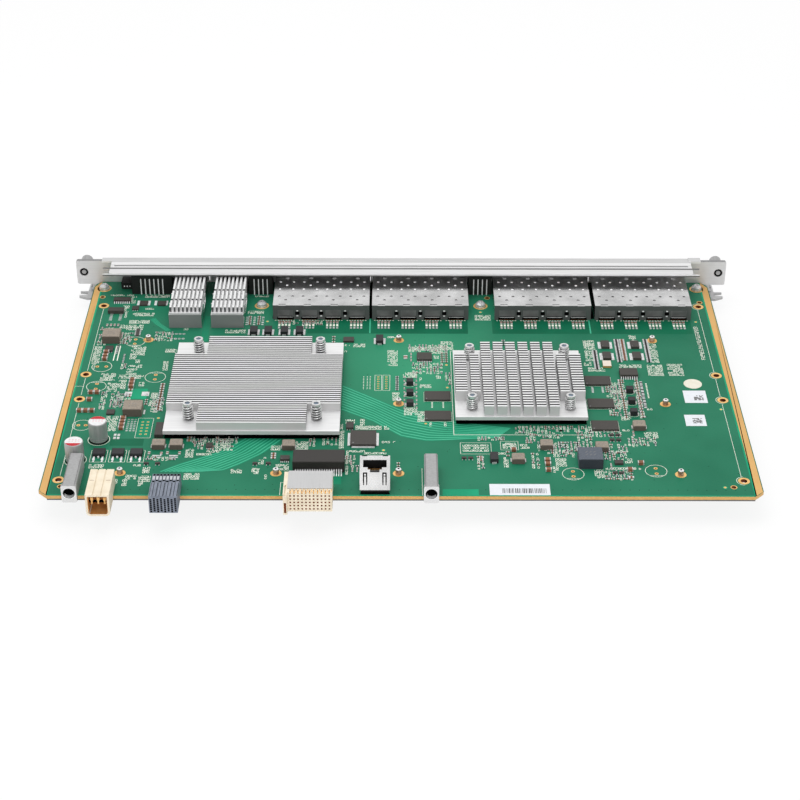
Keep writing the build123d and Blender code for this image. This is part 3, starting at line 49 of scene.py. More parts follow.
MM = 0.001
BOARD_LOW, BOARD_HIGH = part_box("circuit_board")
BOARD_ORIGIN = Vector((0.0, BOARD_LOW.y, BOARD_HIGH.z))
HALF_BOARD = BOARD_HIGH.x / MM
SHEET = 0.03
SIDES = (-1, 1)
rng = random.Random(11)


def place(x, y, z):
    """A board-frame point in metres, in the card's own frame."""
    return BOARD_ORIGIN + Vector((x, y, z)) * MM


def islands(name):
    """The low and high corners, in the board frame, of each separate block in a node."""
    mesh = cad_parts[name].data
    keys = [tuple(round(c * 1e5) for c in vertex.co) for vertex in mesh.vertices]
    parent = {key: key for key in keys}

    def root(key):
        while parent[key] != key:
            parent[key] = parent[parent[key]]
            key = parent[key]
        return key

    for face in mesh.polygons:
        first = root(keys[face.vertices[0]])
        for index in face.vertices[1:]:
            parent[root(keys[index])] = first
    groups = {}
    for key, vertex in zip(keys, mesh.vertices):
        groups.setdefault(root(key), []).append((vertex.co - BOARD_ORIGIN) / MM)
    found = [
        [Vector([extreme(corner[axis] for corner in group) for axis in range(3)]) for extreme in (min, max)]
        for group in groups.values()
    ]
    return sorted(found, key=lambda box: tuple(box[0]))


def centres(name):
    """The middle, seen from above, of each separate block in a node."""
    return [((low + high) / 2).xy for low, high in islands(name)]


# Camera, as solved from the photograph: angles in degrees, the spot in the board frame

CAMERA_SPOT = (-1.4, -849.7, 582.7)
CAMERA_PITCH, CAMERA_YAW, CAMERA_ROLL = 31.67, 0.045, -0.125
LENS, SENSOR = 89.46, 36.0


def add_camera():
    """The photograph's view: a long lens behind and above the rear connectors."""
    pitch, yaw, roll = (math.radians(angle) for angle in (CAMERA_PITCH, CAMERA_YAW, CAMERA_ROLL))
    forward = Vector((math.sin(yaw) * math.cos(pitch), math.cos(yaw) * math.cos(pitch), -math.sin(pitch)))
    level_right = Vector((math.cos(yaw), -math.sin(yaw), 0.0))
    level_down = -level_right.cross(forward)
    right = math.cos(roll) * level_right + math.sin(roll) * level_down
    down = -math.sin(roll) * level_right + math.cos(roll) * level_down
    data = bpy.data.cameras.new("camera")
    data.lens = LENS
    data.sensor_width = SENSOR
    data.clip_start = 0.01
    camera = bpy.data.objects.new("camera", data)
    turn = Matrix((right, -down, -forward)).transposed().to_4x4()
    camera.matrix_world = Matrix.Translation(place(*CAMERA_SPOT)) @ turn
    bpy.context.scene.collection.objects.link(camera)
    bpy.context.scene.camera = camera


# Materials

FINE_LINES = 2600.0
LINE_DEPTH = 0.000004
MATERIALS = {}


def linear(tone):
    """An sRGB colour, or a grey, in 0..255 as a linear colour; a tone of four parts is linear already."""
    def channel(c):
        c /= 255.0
        return c / 12.92 if c <= 0.04045 else ((c + 0.055) / 1.055) ** 2.4
    if isinstance(tone, int):
        tone = (tone,) * 3
    return tone if len(tone) == 4 else (*map(channel, tone), 1.0)


class Tree:
    """A node tree of a material or the world."""

    def __init__(self, owner):
        owner.use_nodes = True
        self.tree = owner.node_tree

    def feed(self, node, inputs):
        """Sets a node's inputs to values, or links them to other nodes' sockets."""
        for key, value in inputs.items():
            if isinstance(value, bpy.types.NodeSocket):
                self.tree.links.new(value, node.inputs[key])
            else:
                node.inputs[key].default_value = value

    def node(self, kind, inputs=None, **settings):
        made = self.tree.nodes.new(kind)
        for key, value in settings.items():
            setattr(made, key, value)
        self.feed(made, inputs or {})
        return made

    def maths(self, operation, *values):
        made = self.node("ShaderNodeMath", dict(enumerate(values)), operation=operation)
        return made.outputs["Value"]

    def ramp(self, value, low, high, start=0.35, end=0.65):
        """A colour that runs from low to high as value runs from start to end."""
        ramp = self.node("ShaderNodeValToRGB", {"Fac": value})
        for element, position, tone in zip(ramp.color_ramp.elements, (start, end), (low, high)):
            element.position = position
            element.color = linear(tone)
        return ramp.outputs["Color"]

    def mix(self, share, low, high):
        """Two colours, each a tone or a socket, mixed by a socket."""
        low, high = (linear(tone) if isinstance(tone, (int, tuple)) else tone for tone in (low, high))
        made = self.node("ShaderNodeMix", {"Factor": share, 6: low, 7: high}, data_type="RGBA")
        return made.outputs[2]

    def ranged(self, value, start, end, low, high):
        """value, from start to end, mapped to low..high."""
        limits = {"From Min": start, "From Max": end, "To Min": low, "To Max": high}
        return self.node("ShaderNodeMapRange", {"Value": value, **limits}).outputs["Result"]

    def part(self, vector, axis):
        return self.node("ShaderNodeSeparateXYZ", {"Vector": vector}).outputs[axis]

    def camera_ray(self):
        return self.node("ShaderNodeLightPath").outputs["Is Camera Ray"]


class Surface(Tree):
    """A material whose Principled shader is fed by textures in the object's own coordinates."""

    def __init__(self, name, roughness, metallic=0.0, specular=0.5):
        self.material = MATERIALS[name] = bpy.data.materials.new(name)
        super().__init__(self.material)
        self.shader = self.tree.nodes["Principled BSDF"]
        settings = {"Metallic": metallic, "Roughness": roughness, "Specular IOR Level": specular}
        self.feed(self.shader, settings)
        self.coordinates = self.node("ShaderNodeTexCoord").outputs["Object"]

    def mapped(self, scale, location=(0.0, 0.0, 0.0)):
        """The coordinates, scaled along each axis and then moved."""
        inputs = {"Vector": self.coordinates, "Scale": scale, "Location": location}
        return self.node("ShaderNodeMapping", inputs).outputs["Vector"]

    def noise(self, *scales, detail=3.0):
        """Noise whose cells are 1/scale metres, the same along each axis or one scale for each."""
        vector = self.mapped(scales if len(scales) == 3 else scales * 3)
        inputs = {"Vector": vector, "Scale": 1.0, "Detail": detail}
        return self.node("ShaderNodeTexNoise", inputs).outputs["Fac"]

    def facing(self, axis, sign):
        """1 on faces that look along X, Y or Z in that direction, 0 on the others."""
        normal = self.node("ShaderNodeNewGeometry").outputs["True Normal"]
        return self.maths("GREATER_THAN" if sign > 0 else "LESS_THAN", self.part(normal, axis), 0.7 * sign)

    def between(self, axis, low, high):
        """1 where the coordinate in metres lies between the two, 0 elsewhere."""
        spot = self.part(self.coordinates, axis)
        return self.both(self.maths("GREATER_THAN", spot, low), self.maths("LESS_THAN", spot, high))

    def both(self, one, other):
        return self.maths("MULTIPLY", one, other)

    def either(self, one, other):
        return self.maths("MAXIMUM", one, other)

    def metallic_off(self, share, metallic):
        """Metallic where share is 0, almost none where it is 1."""
        self.feed(self.shader, {"Metallic": self.ranged(share, 0.0, 1.0, metallic, 0.1)})

    def bump(self, value, height):
        """Relief of that height in metres."""
        relief = self.node("ShaderNodeBump", {"Strength": 1.0, "Distance": height, "Height": value})
        self.feed(self.shader, {"Normal": relief.outputs["Normal"]})

    def finish(self, colour, grain, smooth, rough, relief=0.0):
        """Base colour, with roughness and relief that follow one grain."""
        roughness = self.ranged(grain, 0.3, 0.7, smooth, rough)
        self.feed(self.shader, {"Base Color": colour, "Roughness": roughness})
        if relief:
            self.bump(grain, relief)


def plain(name, low, high, scale, roughness, metallic=0.0, relief=0.0, specular=0.3, rear=None, top=None):
    """A grained surface between two tones; rear and top colour the faces that look there, if given."""
    surface = Surface(name, roughness, metallic, specular)
    grain = surface.noise(scale)
    colour = surface.ramp(grain, low, high)
    if rear:
        colour = surface.mix(surface.facing("Y", -1), colour, rear)
    if top:
        colour = surface.mix(surface.facing("Z", 1), colour, top)
    surface.finish(colour, grain, roughness * 0.85, min(1.0, roughness * 1.2), relief)


def brushed(name, low, high, roughness, along, metallic, top=None):
    """Metal with fine lines along x, y or z; top, if given, is painted onto its upward faces as light and
    shade.
    """
    scales = [FINE_LINES] * 3
    scales["xyz".index(along)] = FINE_LINES / 60.0
    surface = Surface(name, roughness, metallic)
    lines = surface.noise(*scales, detail=2.0)
    colour = surface.mix(surface.noise(30.0, detail=2.0), surface.ramp(lines, low, high), high)
    if top:
        colour = surface.mix(surface.facing("Z", 1), colour, top)
    surface.finish(colour, lines, roughness * 0.8, roughness * 1.25, LINE_DEPTH)


def sheet_metal(name, low, high, roughness, rear=None):
    """Bright tinned sheet with slight waves; rear, if given, is a painted shade colour for the faces towards
    the rear.
    """
    surface = Surface(name, roughness, 1.0)
    waves = surface.noise(70.0, detail=4.0)
    tone = surface.ramp(waves, low, high)
    if rear:
        shaded = surface.facing("Y", -1)
        tone = surface.mix(shaded, tone, rear)
        surface.metallic_off(shaded, 1.0)
    surface.finish(tone, surface.noise(2200.0), roughness * 0.6, roughness * 1.5)
    surface.bump(waves, 0.000015)


def solder_mask():
    """Green mask on top and bottom, with a painted pool of light in the middle; bare laminate on the cut
    edges.
    """
    surface = Surface("solder_mask", 0.36, specular=0.1)
    weave = surface.noise(900.0)
    top = surface.ramp(surface.noise(26.0, detail=2.0), (25, 106, 78), (37, 120, 90), 0.3, 0.7)
    # Painted light: a pool of paler green spreads round the board's middle.
    middle, reach = place(12, 128, 0), 0.075
    centred = surface.mapped([1.0 / reach] * 3, [-c / reach for c in middle])
    glow = surface.node("ShaderNodeTexGradient", {"Vector": centred}, gradient_type="SPHERICAL")
    top = surface.mix(glow.outputs["Fac"], top, (48, 144, 106))
    edge = surface.ramp(weave, (204, 160, 98), (212, 170, 108))
    flat = surface.either(surface.facing("Z", 1), surface.facing("Z", -1))
    surface.finish(surface.mix(flat, edge, top), weave, 0.3, 0.44, 0.000012)


# How far the corner notches of a heat sink reach in from its rear and from its sides, where it has them
SINK_NOTCHES = {"big_heatsink": (20.75, 18.1), "small_heatsink": (16.98, 15.2)}


def sink_fins():
    """Milled aluminium: bright tops, painted shade on the rear-facing flanks between the fins, painted light
    on the rear faces of the rearmost fins and at the notches.
    """
    surface = Surface("fins", 0.4, 0.25)
    lines = surface.noise(45.0, FINE_LINES, FINE_LINES, detail=2.0)
    rear = surface.facing("Y", -1)
    # Painted shade: faces that look to the rear are dark grey.
    tone = surface.mix(rear, surface.ramp(lines, 216, 230), (84, 84, 86))
    edge = 1.0 * MM

    def lit(tone, y0, y1, across):
        """tone, with painted light on the rear faces between two depths where across is 1."""
        here = surface.both(surface.both(surface.between("Y", y0, y1), across), rear)
        return surface.mix(here, tone, (198, 197, 197))

    for name in FINISHES["fins"]:
        low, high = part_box(name)
        near, far = low.x - edge, high.x + edge
        tone = lit(tone, low.y - edge, low.y + 1.4 * MM, surface.between("X", near, far))
        if name in SINK_NOTCHES:
            depth, width = (size * MM for size in SINK_NOTCHES[name])
            corners = surface.either(
                surface.between("X", near, low.x + width), surface.between("X", high.x - width, far)
            )
            tone = lit(tone, low.y + depth - 0.4 * MM, low.y + depth + 0.4 * MM, corners)
    surface.metallic_off(rear, 0.25)
    surface.finish(tone, lines, 0.34, 0.48, LINE_DEPTH)


def hood_sheet():
    """Brushed sheet with painted light and shade in bands across its depth, painted shade down in the gasket
    groove and a painted highlight on its rear-facing edge.
    """
    surface = Surface("hood", 0.42, 0.5)
    low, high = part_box("panel_hood")
    lines = surface.noise(45.0, FINE_LINES, FINE_LINES, detail=2.0)
    tone = surface.ramp(lines, 206, 222)
    fold, bright = high.y - 6.0 * MM, high.y - 8.5 * MM
    # Painted light in a paler band before the fold; painted shade in a darker band from the fold to the front
    # end.
    tone = surface.mix(surface.between("Y", bright, fold), tone, 226)
    tone = surface.mix(surface.between("Y", fold, high.y + MM), tone, surface.ramp(lines, 190, 206))
    # Painted shade down in the gasket groove.
    tone = surface.mix(surface.between("Z", low.z + 0.3 * MM, low.z + 0.9 * MM), tone, 104)
    # Painted highlight on the faces that look to the rear.
    surface.finish(surface.mix(surface.facing("Y", -1), tone, 236), lines, 0.34, 0.5)


def make_materials():
    solder_mask()
    sink_fins()
    hood_sheet()
    plain("mask_dark", (6, 92, 64), (12, 102, 72), 40, 0.4, specular=0.1)
    plain("mask_light", (18, 124, 90), (26, 134, 98), 60, 0.4, specular=0.1)
    plain("mask_bright", (12, 142, 102), (24, 156, 114), 60, 0.4, specular=0.1)
    plain("trace", (58, 166, 130), (74, 178, 142), 60, 0.4, specular=0.1)
    plain("via", (14, 56, 42), (22, 66, 50), 200, 0.6, specular=0.1)
    plain("silk", (228, 232, 216), (244, 244, 232), 900, 0.6, specular=0.2)
    plain("gold", (224, 170, 98), (240, 196, 128), 300, 0.35, 0.4)
    plain("tan", (204, 158, 92), (214, 170, 104), 30, 0.45, 0.1)
    plain("solder", 190, 226, 700, 0.3, 0.55, 0.00001)
    plain("copper_dark", (98, 44, 22), (136, 72, 38), 500, 0.45, 0.4)
    plain("cage_mid", 88, 112, 120, 0.4, 0.2)
    plain("steel", 200, 228, 400, 0.24, 0.6, 0.000004)
    plain("spring_steel", 196, 226, 400, 0.22, 0.8)
    plain("ferrule", 150, 176, 400, 0.4, 0.5)
    # Painted light: the studs' tops are paler than their sides.
    plain("nickel", (138, 100, 78), (206, 176, 152), 500, 0.25, 0.3, specular=0.5, top=236)
    plain("crystal", (176, 132, 70), (200, 156, 92), 500, 0.35, 0.2, specular=0.5, top=(224, 212, 198))
    # Painted light: the guide sockets' faces towards the rear are paler.
    plain("guide", 150, 162, 900, 0.45, relief=0.00002, rear=214)
    plain("black", 20, 30, 1200, 0.45, relief=0.00001)
    # Painted shade: near black in bores, holes, slots, gaps between parts and shadows.
    plain("shade_black", 4, 8, 600, 0.9, specular=0.0)
    plain("port_black", 60, 72, 600, 0.5)
    plain("package", (56, 53, 50), (70, 66, 62), 1500, 0.55, relief=0.00001)
    plain("power_black", (34, 34, 36), (46, 46, 48), 1500, 0.5, relief=0.00001)
    plain("module", (40, 37, 35), (52, 49, 46), 1500, 0.5, relief=0.00001)
    plain("cream", (222, 209, 184), (232, 220, 198), 200, 0.45, relief=0.00001)
    # Painted shade of the cream plastic: brown inside the power socket, deeper brown down in holes and slots.
    plain("cream_in_shade", (190, 132, 74), (208, 152, 92), 300, 0.9, specular=0.0)
    plain("hole_shade_brown", (92, 40, 16), (118, 60, 28), 300, 0.8, specular=0.1)
    plain("blue_grey", (108, 115, 128), (126, 133, 146), 250, 0.5)
    plain("pale_grey", (176, 178, 182), (192, 194, 198), 250, 0.5)
    plain("clear", 190, 206, 250, 0.2)
    plain("lead", 226, 242, 400, 0.4)
    # Painted shade: the inductors' faces towards the rear are darker.
    plain("ferrite", (134, 124, 112), (154, 144, 131), 1100, 0.75, relief=0.00002, rear=(92, 84, 76))
    plain("ferrite_blue", (78, 84, 94), (94, 100, 110), 1100, 0.6, relief=0.00002, rear=(48, 52, 60))
    plain("ceramic", (112, 70, 48), (146, 100, 74), 700, 0.55)
    plain("resistor", (26, 24, 24), (42, 40, 40), 900, 0.4)
    plain("can_foot", 52, 70, 600, 0.5)
    plain("can_top", 216, 228, 600, 0.45)
    plain("can_mark", (170, 16, 30), (196, 30, 42), 600, 0.45)
    plain("can_ink", (214, 150, 160), (226, 168, 176), 600, 0.45)
    plain("label", (218, 221, 226), (224, 227, 231), 500, 0.6, specular=0.1)
    plain("label_cream", (219, 214, 196), (226, 221, 207), 500, 0.55)
    # Near white: painted highlights and painted light on edges, vents and bore walls, and the reset's pale
    # contacts.
    plain("pale_and_highlight", 232, 242, 500, 0.5)
    # Dark grey: painted shade under the board's near edge, in the hood's groove and round the guide mouths,
    # and the seams of the guide tops.
    plain("groove", 92, 104, 500, 0.5)
    plain("ink", 70, 96, 900, 0.5)
    plain("ink_pale", 104, 130, 900, 0.5)
    plain("socket_blue", (96, 112, 128), (124, 140, 154), 500, 0.4, 0.3)
    # Painted shade: the panel's upward faces are darker.
    brushed("panel", 200, 216, 0.42, "x", 0.6, top=140)
    brushed("shield", 176, 190, 0.42, "y", 0.6)
    brushed("knob", 140, 170, 0.36, "y", 0.7)
    # Painted light: the levers' upward faces are paler.
    brushed("lever", 160, 180, 0.4, "x", 0.5, top=196)
    brushed("can", 160, 180, 0.42, "z", 0.55)
    # Painted shade: the cages' faces towards the rear are darker.
    sheet_metal("cage", 190, 222, 0.17, rear=88)
    sheet_metal("wide_cage", 190, 222, 0.17, rear=132)
    sheet_metal("bright_sheet", 206, 226, 0.25)


# Each finish and the solids that have it
FINISHES = {
    "solder_mask": ("circuit_board",),
    "panel": ("front_panel", "board_bracket", "ejector_brackets"),
    "hood": ("panel_hood",),
    "cage": ("port_cage_1", "port_cage_2", "port_cage_3", "port_cage_4"),
    "wide_cage": ("wide_cage_1", "wide_cage_2"),
    "bright_sheet": ("jack_shell", "wide_clips"),
    "shield": ("grid_shield",),
    "lead": ("light_leads", "transformer_leads", "logic_leads", "transistor_leads"),
    "steel": (
        "panel_screws", "panel_washers", "bracket_screws", "ejector_pins", "heatsink_screws",
        "heatsink_springs",
    ),
    "nickel": ("board_studs",),
    "ferrule": ("captive_ferrules",),
    "knob": ("captive_screw_left", "captive_screw_right"),
    "lever": ("ejector_left", "ejector_right"),
    "fins": ("big_heatsink", "wide_heatsinks", "small_heatsink"),
    "guide": ("guide_socket_left", "guide_socket_right"),
    "black": ("light_housings", "wide_connectors", "reset_switch", "reset_button", "jack_insert"),
    "port_black": ("port_connectors",),
    "package": ("memory_chips", "logic_chips", "sink_chips"),
    "power_black": ("power_transistors", "chokes"),
    "module": ("transformer_module",),
    "cream": ("power_connector", "grid_connector"),
    "blue_grey": ("signal_connector", "thermal_pads"),
    "clear": ("light_lenses",),
    "gold": ("power_blades",),
    "crystal": ("crystal",),
    "ferrite": ("small_inductors", "medium_inductors"),
    "ferrite_blue": ("large_inductor",),
    "ceramic": ("ceramic_capacitors",),
    "can": ("electrolytic_cans",),
    "can_foot": ("can_feet",),
}


def set_materials():
    for key, names in FINISHES.items():
        for name in names:
            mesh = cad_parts[name].data
            mesh.materials.clear()
            mesh.materials.append(MATERIALS[key])


# Small pieces, gathered into one mesh for each material

def arc(x, y, radius, sides, start=0.0, sweep=360.0):
    """Points along a circle, from start over sweep in degrees; a full turn doesn't repeat the first."""
    count = sides if sweep >= 360.0 else sides + 1
    angles = [math.radians(start + sweep * i / sides) for i in range(count)]
    return [(x + radius * math.cos(angle), y + radius * math.sin(angle)) for angle in angles]


def steps(first, last, pitch):
    """Evenly spaced places from first to last, about a pitch apart."""
    count = max(1, round((last - first) / pitch))
    return [first + (last - first) * (i + 0.5) / count for i in range(count)]


class Batch:
    """Pieces of one material on the card, gathered into one mesh; sizes in millimetres, board frame."""

    def __init__(self, name, material, slot):
        self.name, self.material, self.slot = name, material, slot
        self.vertices, self.faces = [], []

    def prism(self, outline, low, high):
        """An upright prism with a lid; the outline runs anticlockwise seen from above."""
        count, first = len(outline), len(self.vertices)
        self.vertices += [place(x, y, z) for z in (low, high) for x, y in outline]
        for i in range(count):
            j = (i + 1) % count
            self.faces.append((first + i, first + j, first + count + j, first + count + i))
        self.faces.append(tuple(first + count + i for i in range(count)))

    def box(self, x0, x1, y0, y1, low, high):
        self.prism(((x0, y0), (x1, y0), (x1, y1), (x0, y1)), low, high)

    def block(self, x, y, half_x, half_y, high, low=0.0):
        """A box round a point on the board."""
        self.box(x - half_x, x + half_x, y - half_y, y + half_y, low, high)

    def ends(self, x, y, inner, outer, half, high, along="x"):
        """Two blocks on the board, from inner to outer on either side of a point."""
        middle, reach = (inner + outer) / 2, (outer - inner) / 2
        for side in SIDES:
            if along == "x":
                self.block(x + side * middle, y, reach, half, high)
            else:
                self.block(x, y + side * middle, half, reach, high)

    def polygon(self, outline, height=SHEET):
        """A thin printed or plated shape."""
        first = len(self.vertices)
        self.vertices += [place(x, y, height) for x, y in outline]
        self.faces.append(tuple(first + i for i in range(len(outline))))

    def flat(self, x0, x1, y0, y1, height=SHEET):
        self.polygon(((x0, y0), (x1, y0), (x1, y1), (x0, y1)), height)

    def pad(self, x, y, half_x, half_y, height=SHEET):
        self.flat(x - half_x, x + half_x, y - half_y, y + half_y, height)

    def across(self, x, half, y0, y1, low, high):
        """A box centred on x."""
        self.box(x - half, x + half, y0, y1, low, high)

    def band(self, x, half, y0, y1, height=SHEET):
        """A flat centred on x."""
        self.flat(x - half, x + half, y0, y1, height)

    def disc(self, x, y, radius, height=SHEET, sides=24):
        self.polygon(arc(x, y, radius, sides), height)

    def line(self, points, width, height=SHEET):
        """A drawn line of that width through the points."""
        for (x0, y0), (x1, y1) in zip(points, points[1:]):
            length = math.hypot(x1 - x0, y1 - y0)
            if length < 1e-6:
                continue
            dx, dy = (y0 - y1) / length * width / 2, (x1 - x0) / length * width / 2
            self.polygon(
                ((x0 - dx, y0 - dy), (x1 - dx, y1 - dy), (x1 + dx, y1 + dy), (x0 + dx, y0 + dy)), height
            )

    def strip(self, one, other, closed):
        """Faces between two rows of points."""
        first, count = len(self.vertices), len(one)
        for pair in zip(one, other):
            self.vertices += [place(*point) for point in pair]
        for i in range(count if closed else count - 1):
            a, b = first + 2 * i, first + 2 * ((i + 1) % count)
            self.faces.append((a, a + 1, b + 1, b))

    def ring(self, x, y, inner, outer, height=SHEET, sides=40, start=0.0, sweep=360.0):
        """A flat ring, or a part of one."""
        rows = [[(*p, height) for p in arc(x, y, r, sides, start, sweep)] for r in (inner, outer)]
        self.strip(*rows, sweep >= 360.0)

    def tube(self, x, y, radius, low, high, sides=32):
        """An upright barrel."""
        circle = arc(x, y, radius, sides)
        self.strip([(*p, low) for p in circle], [(*p, high) for p in circle], True)

    def upright(self, x, y, z, inner, outer, sides=32):
        """A ring that faces the rear; a disc when inner is 0."""
        if inner:
            rows = [[(px, y, pz) for px, pz in arc(x, z, r, sides)] for r in (inner, outer)]
            self.strip(*rows, True)
        else:
            first = len(self.vertices)
            self.vertices += [place(px, y, pz) for px, pz in arc(x, z, outer, sides)]
            self.faces.append(tuple(range(first, first + sides)))

    def sleeve(self, x, z, y0, y1, radius, sides=32, start=0.0, sweep=360.0):
        """The inside of a bore along Y, or a part of it."""
        rows = [[(px, y, pz) for px, pz in arc(x, z, radius, sides, start, sweep)] for y in (y1, y0)]
        self.strip(*rows, sweep >= 360.0)

    def finish(self):
        add_piece(self.name, self.vertices, self.faces, self.material)


def add_piece(name, vertices, faces, material):
    """A mesh that rides on the card."""
    mesh = bpy.data.meshes.new(name)
    mesh.from_pydata(vertices, [], faces)
    mesh.materials.append(material)
    piece = bpy.data.objects.new(name, mesh)
    bpy.context.scene.collection.objects.link(piece)
    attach(piece, "card")
    return piece


# The record's slot of each batch, by the name of its material
SLOTS = {
    "silk": "board", "trace": "board", "via": "board", "mask_dark": "board", "mask_light": "board",
    "mask_bright": "board", "gold": "gold", "tan": "gold", "copper_dark": "gold", "cream_in_shade": "gold",
    "hole_shade_brown": "gold", "solder": "steel", "socket_blue": "steel", "lead": "cage_sheet",
    "cage_mid": "cage_sheet", "groove": "panel_sheet", "pale_and_highlight": "guide_metal", "ceramic": "ceramic",
    "resistor": "black_plastic", "package": "black_plastic", "shade_black": "black_plastic",
    "can_mark": "black_plastic", "ink": "black_plastic", "ink_pale": "grey_plastic",
    "pale_grey": "grey_plastic", "can_top": "can_metal", "can_ink": "cream_plastic",
    "label": "cream_plastic", "label_cream": "cream_plastic",
}
parts = {}


def make_batches():
    for key, slot in SLOTS.items():
        parts[key] = Batch("detail_" + key, MATERIALS[key], slot)


# Printed and soldered detail on the board

MARK_PITCH_X, MARK_PITCH_Y = 1.4, 2.15
PART_PITCH_X, PART_PITCH_Y = 2.0, 2.2
END_SHARE, END_OVERLAP = 0.28, 0.18


def printed_marks(x0, x1, y0, y1):
    """Small printed cells in rows: part frames and reference marks, read from a step away."""
    silk = parts["silk"]
    for y in steps(y0, y1, MARK_PITCH_Y):
        for x in steps(x0, x1, MARK_PITCH_X):
            if rng.random() < 0.07:
                continue
            wide, deep = rng.choice((0.46, 0.52)), rng.choice((0.7, 0.8))
            for side in SIDES:
                if rng.random() < 0.85:
                    edge = x + side * wide
                    silk.flat(edge - 0.14, edge + 0.14, y - deep, y + rng.choice((deep, deep, 0.1)))
            for height in (-deep, 0.0, deep):
                if rng.random() < (0.35 if height == 0.0 else 0.8):
                    silk.pad(x, y + height, wide, 0.17)


def chip_part(x, y, length, width, height, kind, along="x"):
    """A chip resistor or capacitor with its soldered ends."""
    half, side = length / 2, width / 2
    body = half - END_SHARE * length
    parts["solder"].ends(x, y, body, half + END_OVERLAP, side, height * 0.92, along)
    if along == "x":
        parts[kind].block(x, y, body, side, height)
    else:
        parts[kind].block(x, y, side, body, height)


def part_field(x0, x1, y0, y1):
    """Small passives between printed marks, as they stand round a converter."""
    for y in steps(y0, y1, PART_PITCH_Y):
        for x in steps(x0, x1, PART_PITCH_X):
            if rng.random() > 0.92:
                continue
            kind = rng.choice(("ceramic", "ceramic", "resistor"))
            if rng.random() < 0.5:
                chip_part(x, y, 1.4, 0.8, 0.55, kind, rng.choice("xy"))
            else:
                printed_marks(x - 0.9, x + 0.9, y - 1.0, y + 1.0)


def capacitor_outline(x, y, radius, turn, spread):
    """The printed circle of an unfitted can, with its hatched segment and two pads."""
    silk, half_segment = parts["silk"], 42
    silk.ring(x, y, radius - 0.13, radius + 0.13, sides=48)
    points = arc(x, y, radius, 12, turn - half_segment, 2 * half_segment)
    silk.line([points[0], points[-1]], 0.2)
    chord = Vector((math.cos(math.radians(turn)), math.sin(math.radians(turn))))
    inner = radius * math.cos(math.radians(half_segment))
    for point in points[1:-1:2]:
        depth = (Vector(point) - Vector((x, y))).dot(chord) - inner
        silk.line([point, tuple(Vector(point) - chord * depth)], 0.12)
    for side in SIDES:
        pad_x, pad_y = Vector((x, y)) + side * spread * chord
        parts["gold"].ring(pad_x, pad_y, 0.5, 1.05, sides=24)
        parts["copper_dark"].disc(pad_x, pad_y, 0.5, SHEET * 0.7, 16)


def resample(line, count):
    """Points spread evenly along a drawn line."""
    lengths = [math.dist(a, b) for a, b in zip(line, line[1:])]
    found = []
    for i in range(count):
        target = sum(lengths) * i / (count - 1)
        for (a, b), length in zip(zip(line, line[1:]), lengths):
            if target <= length or b == line[-1]:
                found.append(tuple(Vector(a).lerp(Vector(b), min(1.0, target / length))))
                break
            target -= length
    return found


def trace_bundle(left, right, count, width):
    """Parallel tracks that fan between two drawn edges, on a lighter ground."""
    a, b = resample(left, 28), resample(right, 28)
    for i in range(len(a) - 1):
        parts["mask_light"].polygon((b[i], b[i + 1], a[i + 1], a[i]), SHEET * 0.4)
    for k in range(count):
        points = [tuple(Vector(p).lerp(Vector(q), (k + 0.5) / count)) for p, q in zip(a, b)]
        parts["trace"].line(points, width, SHEET * 0.6)


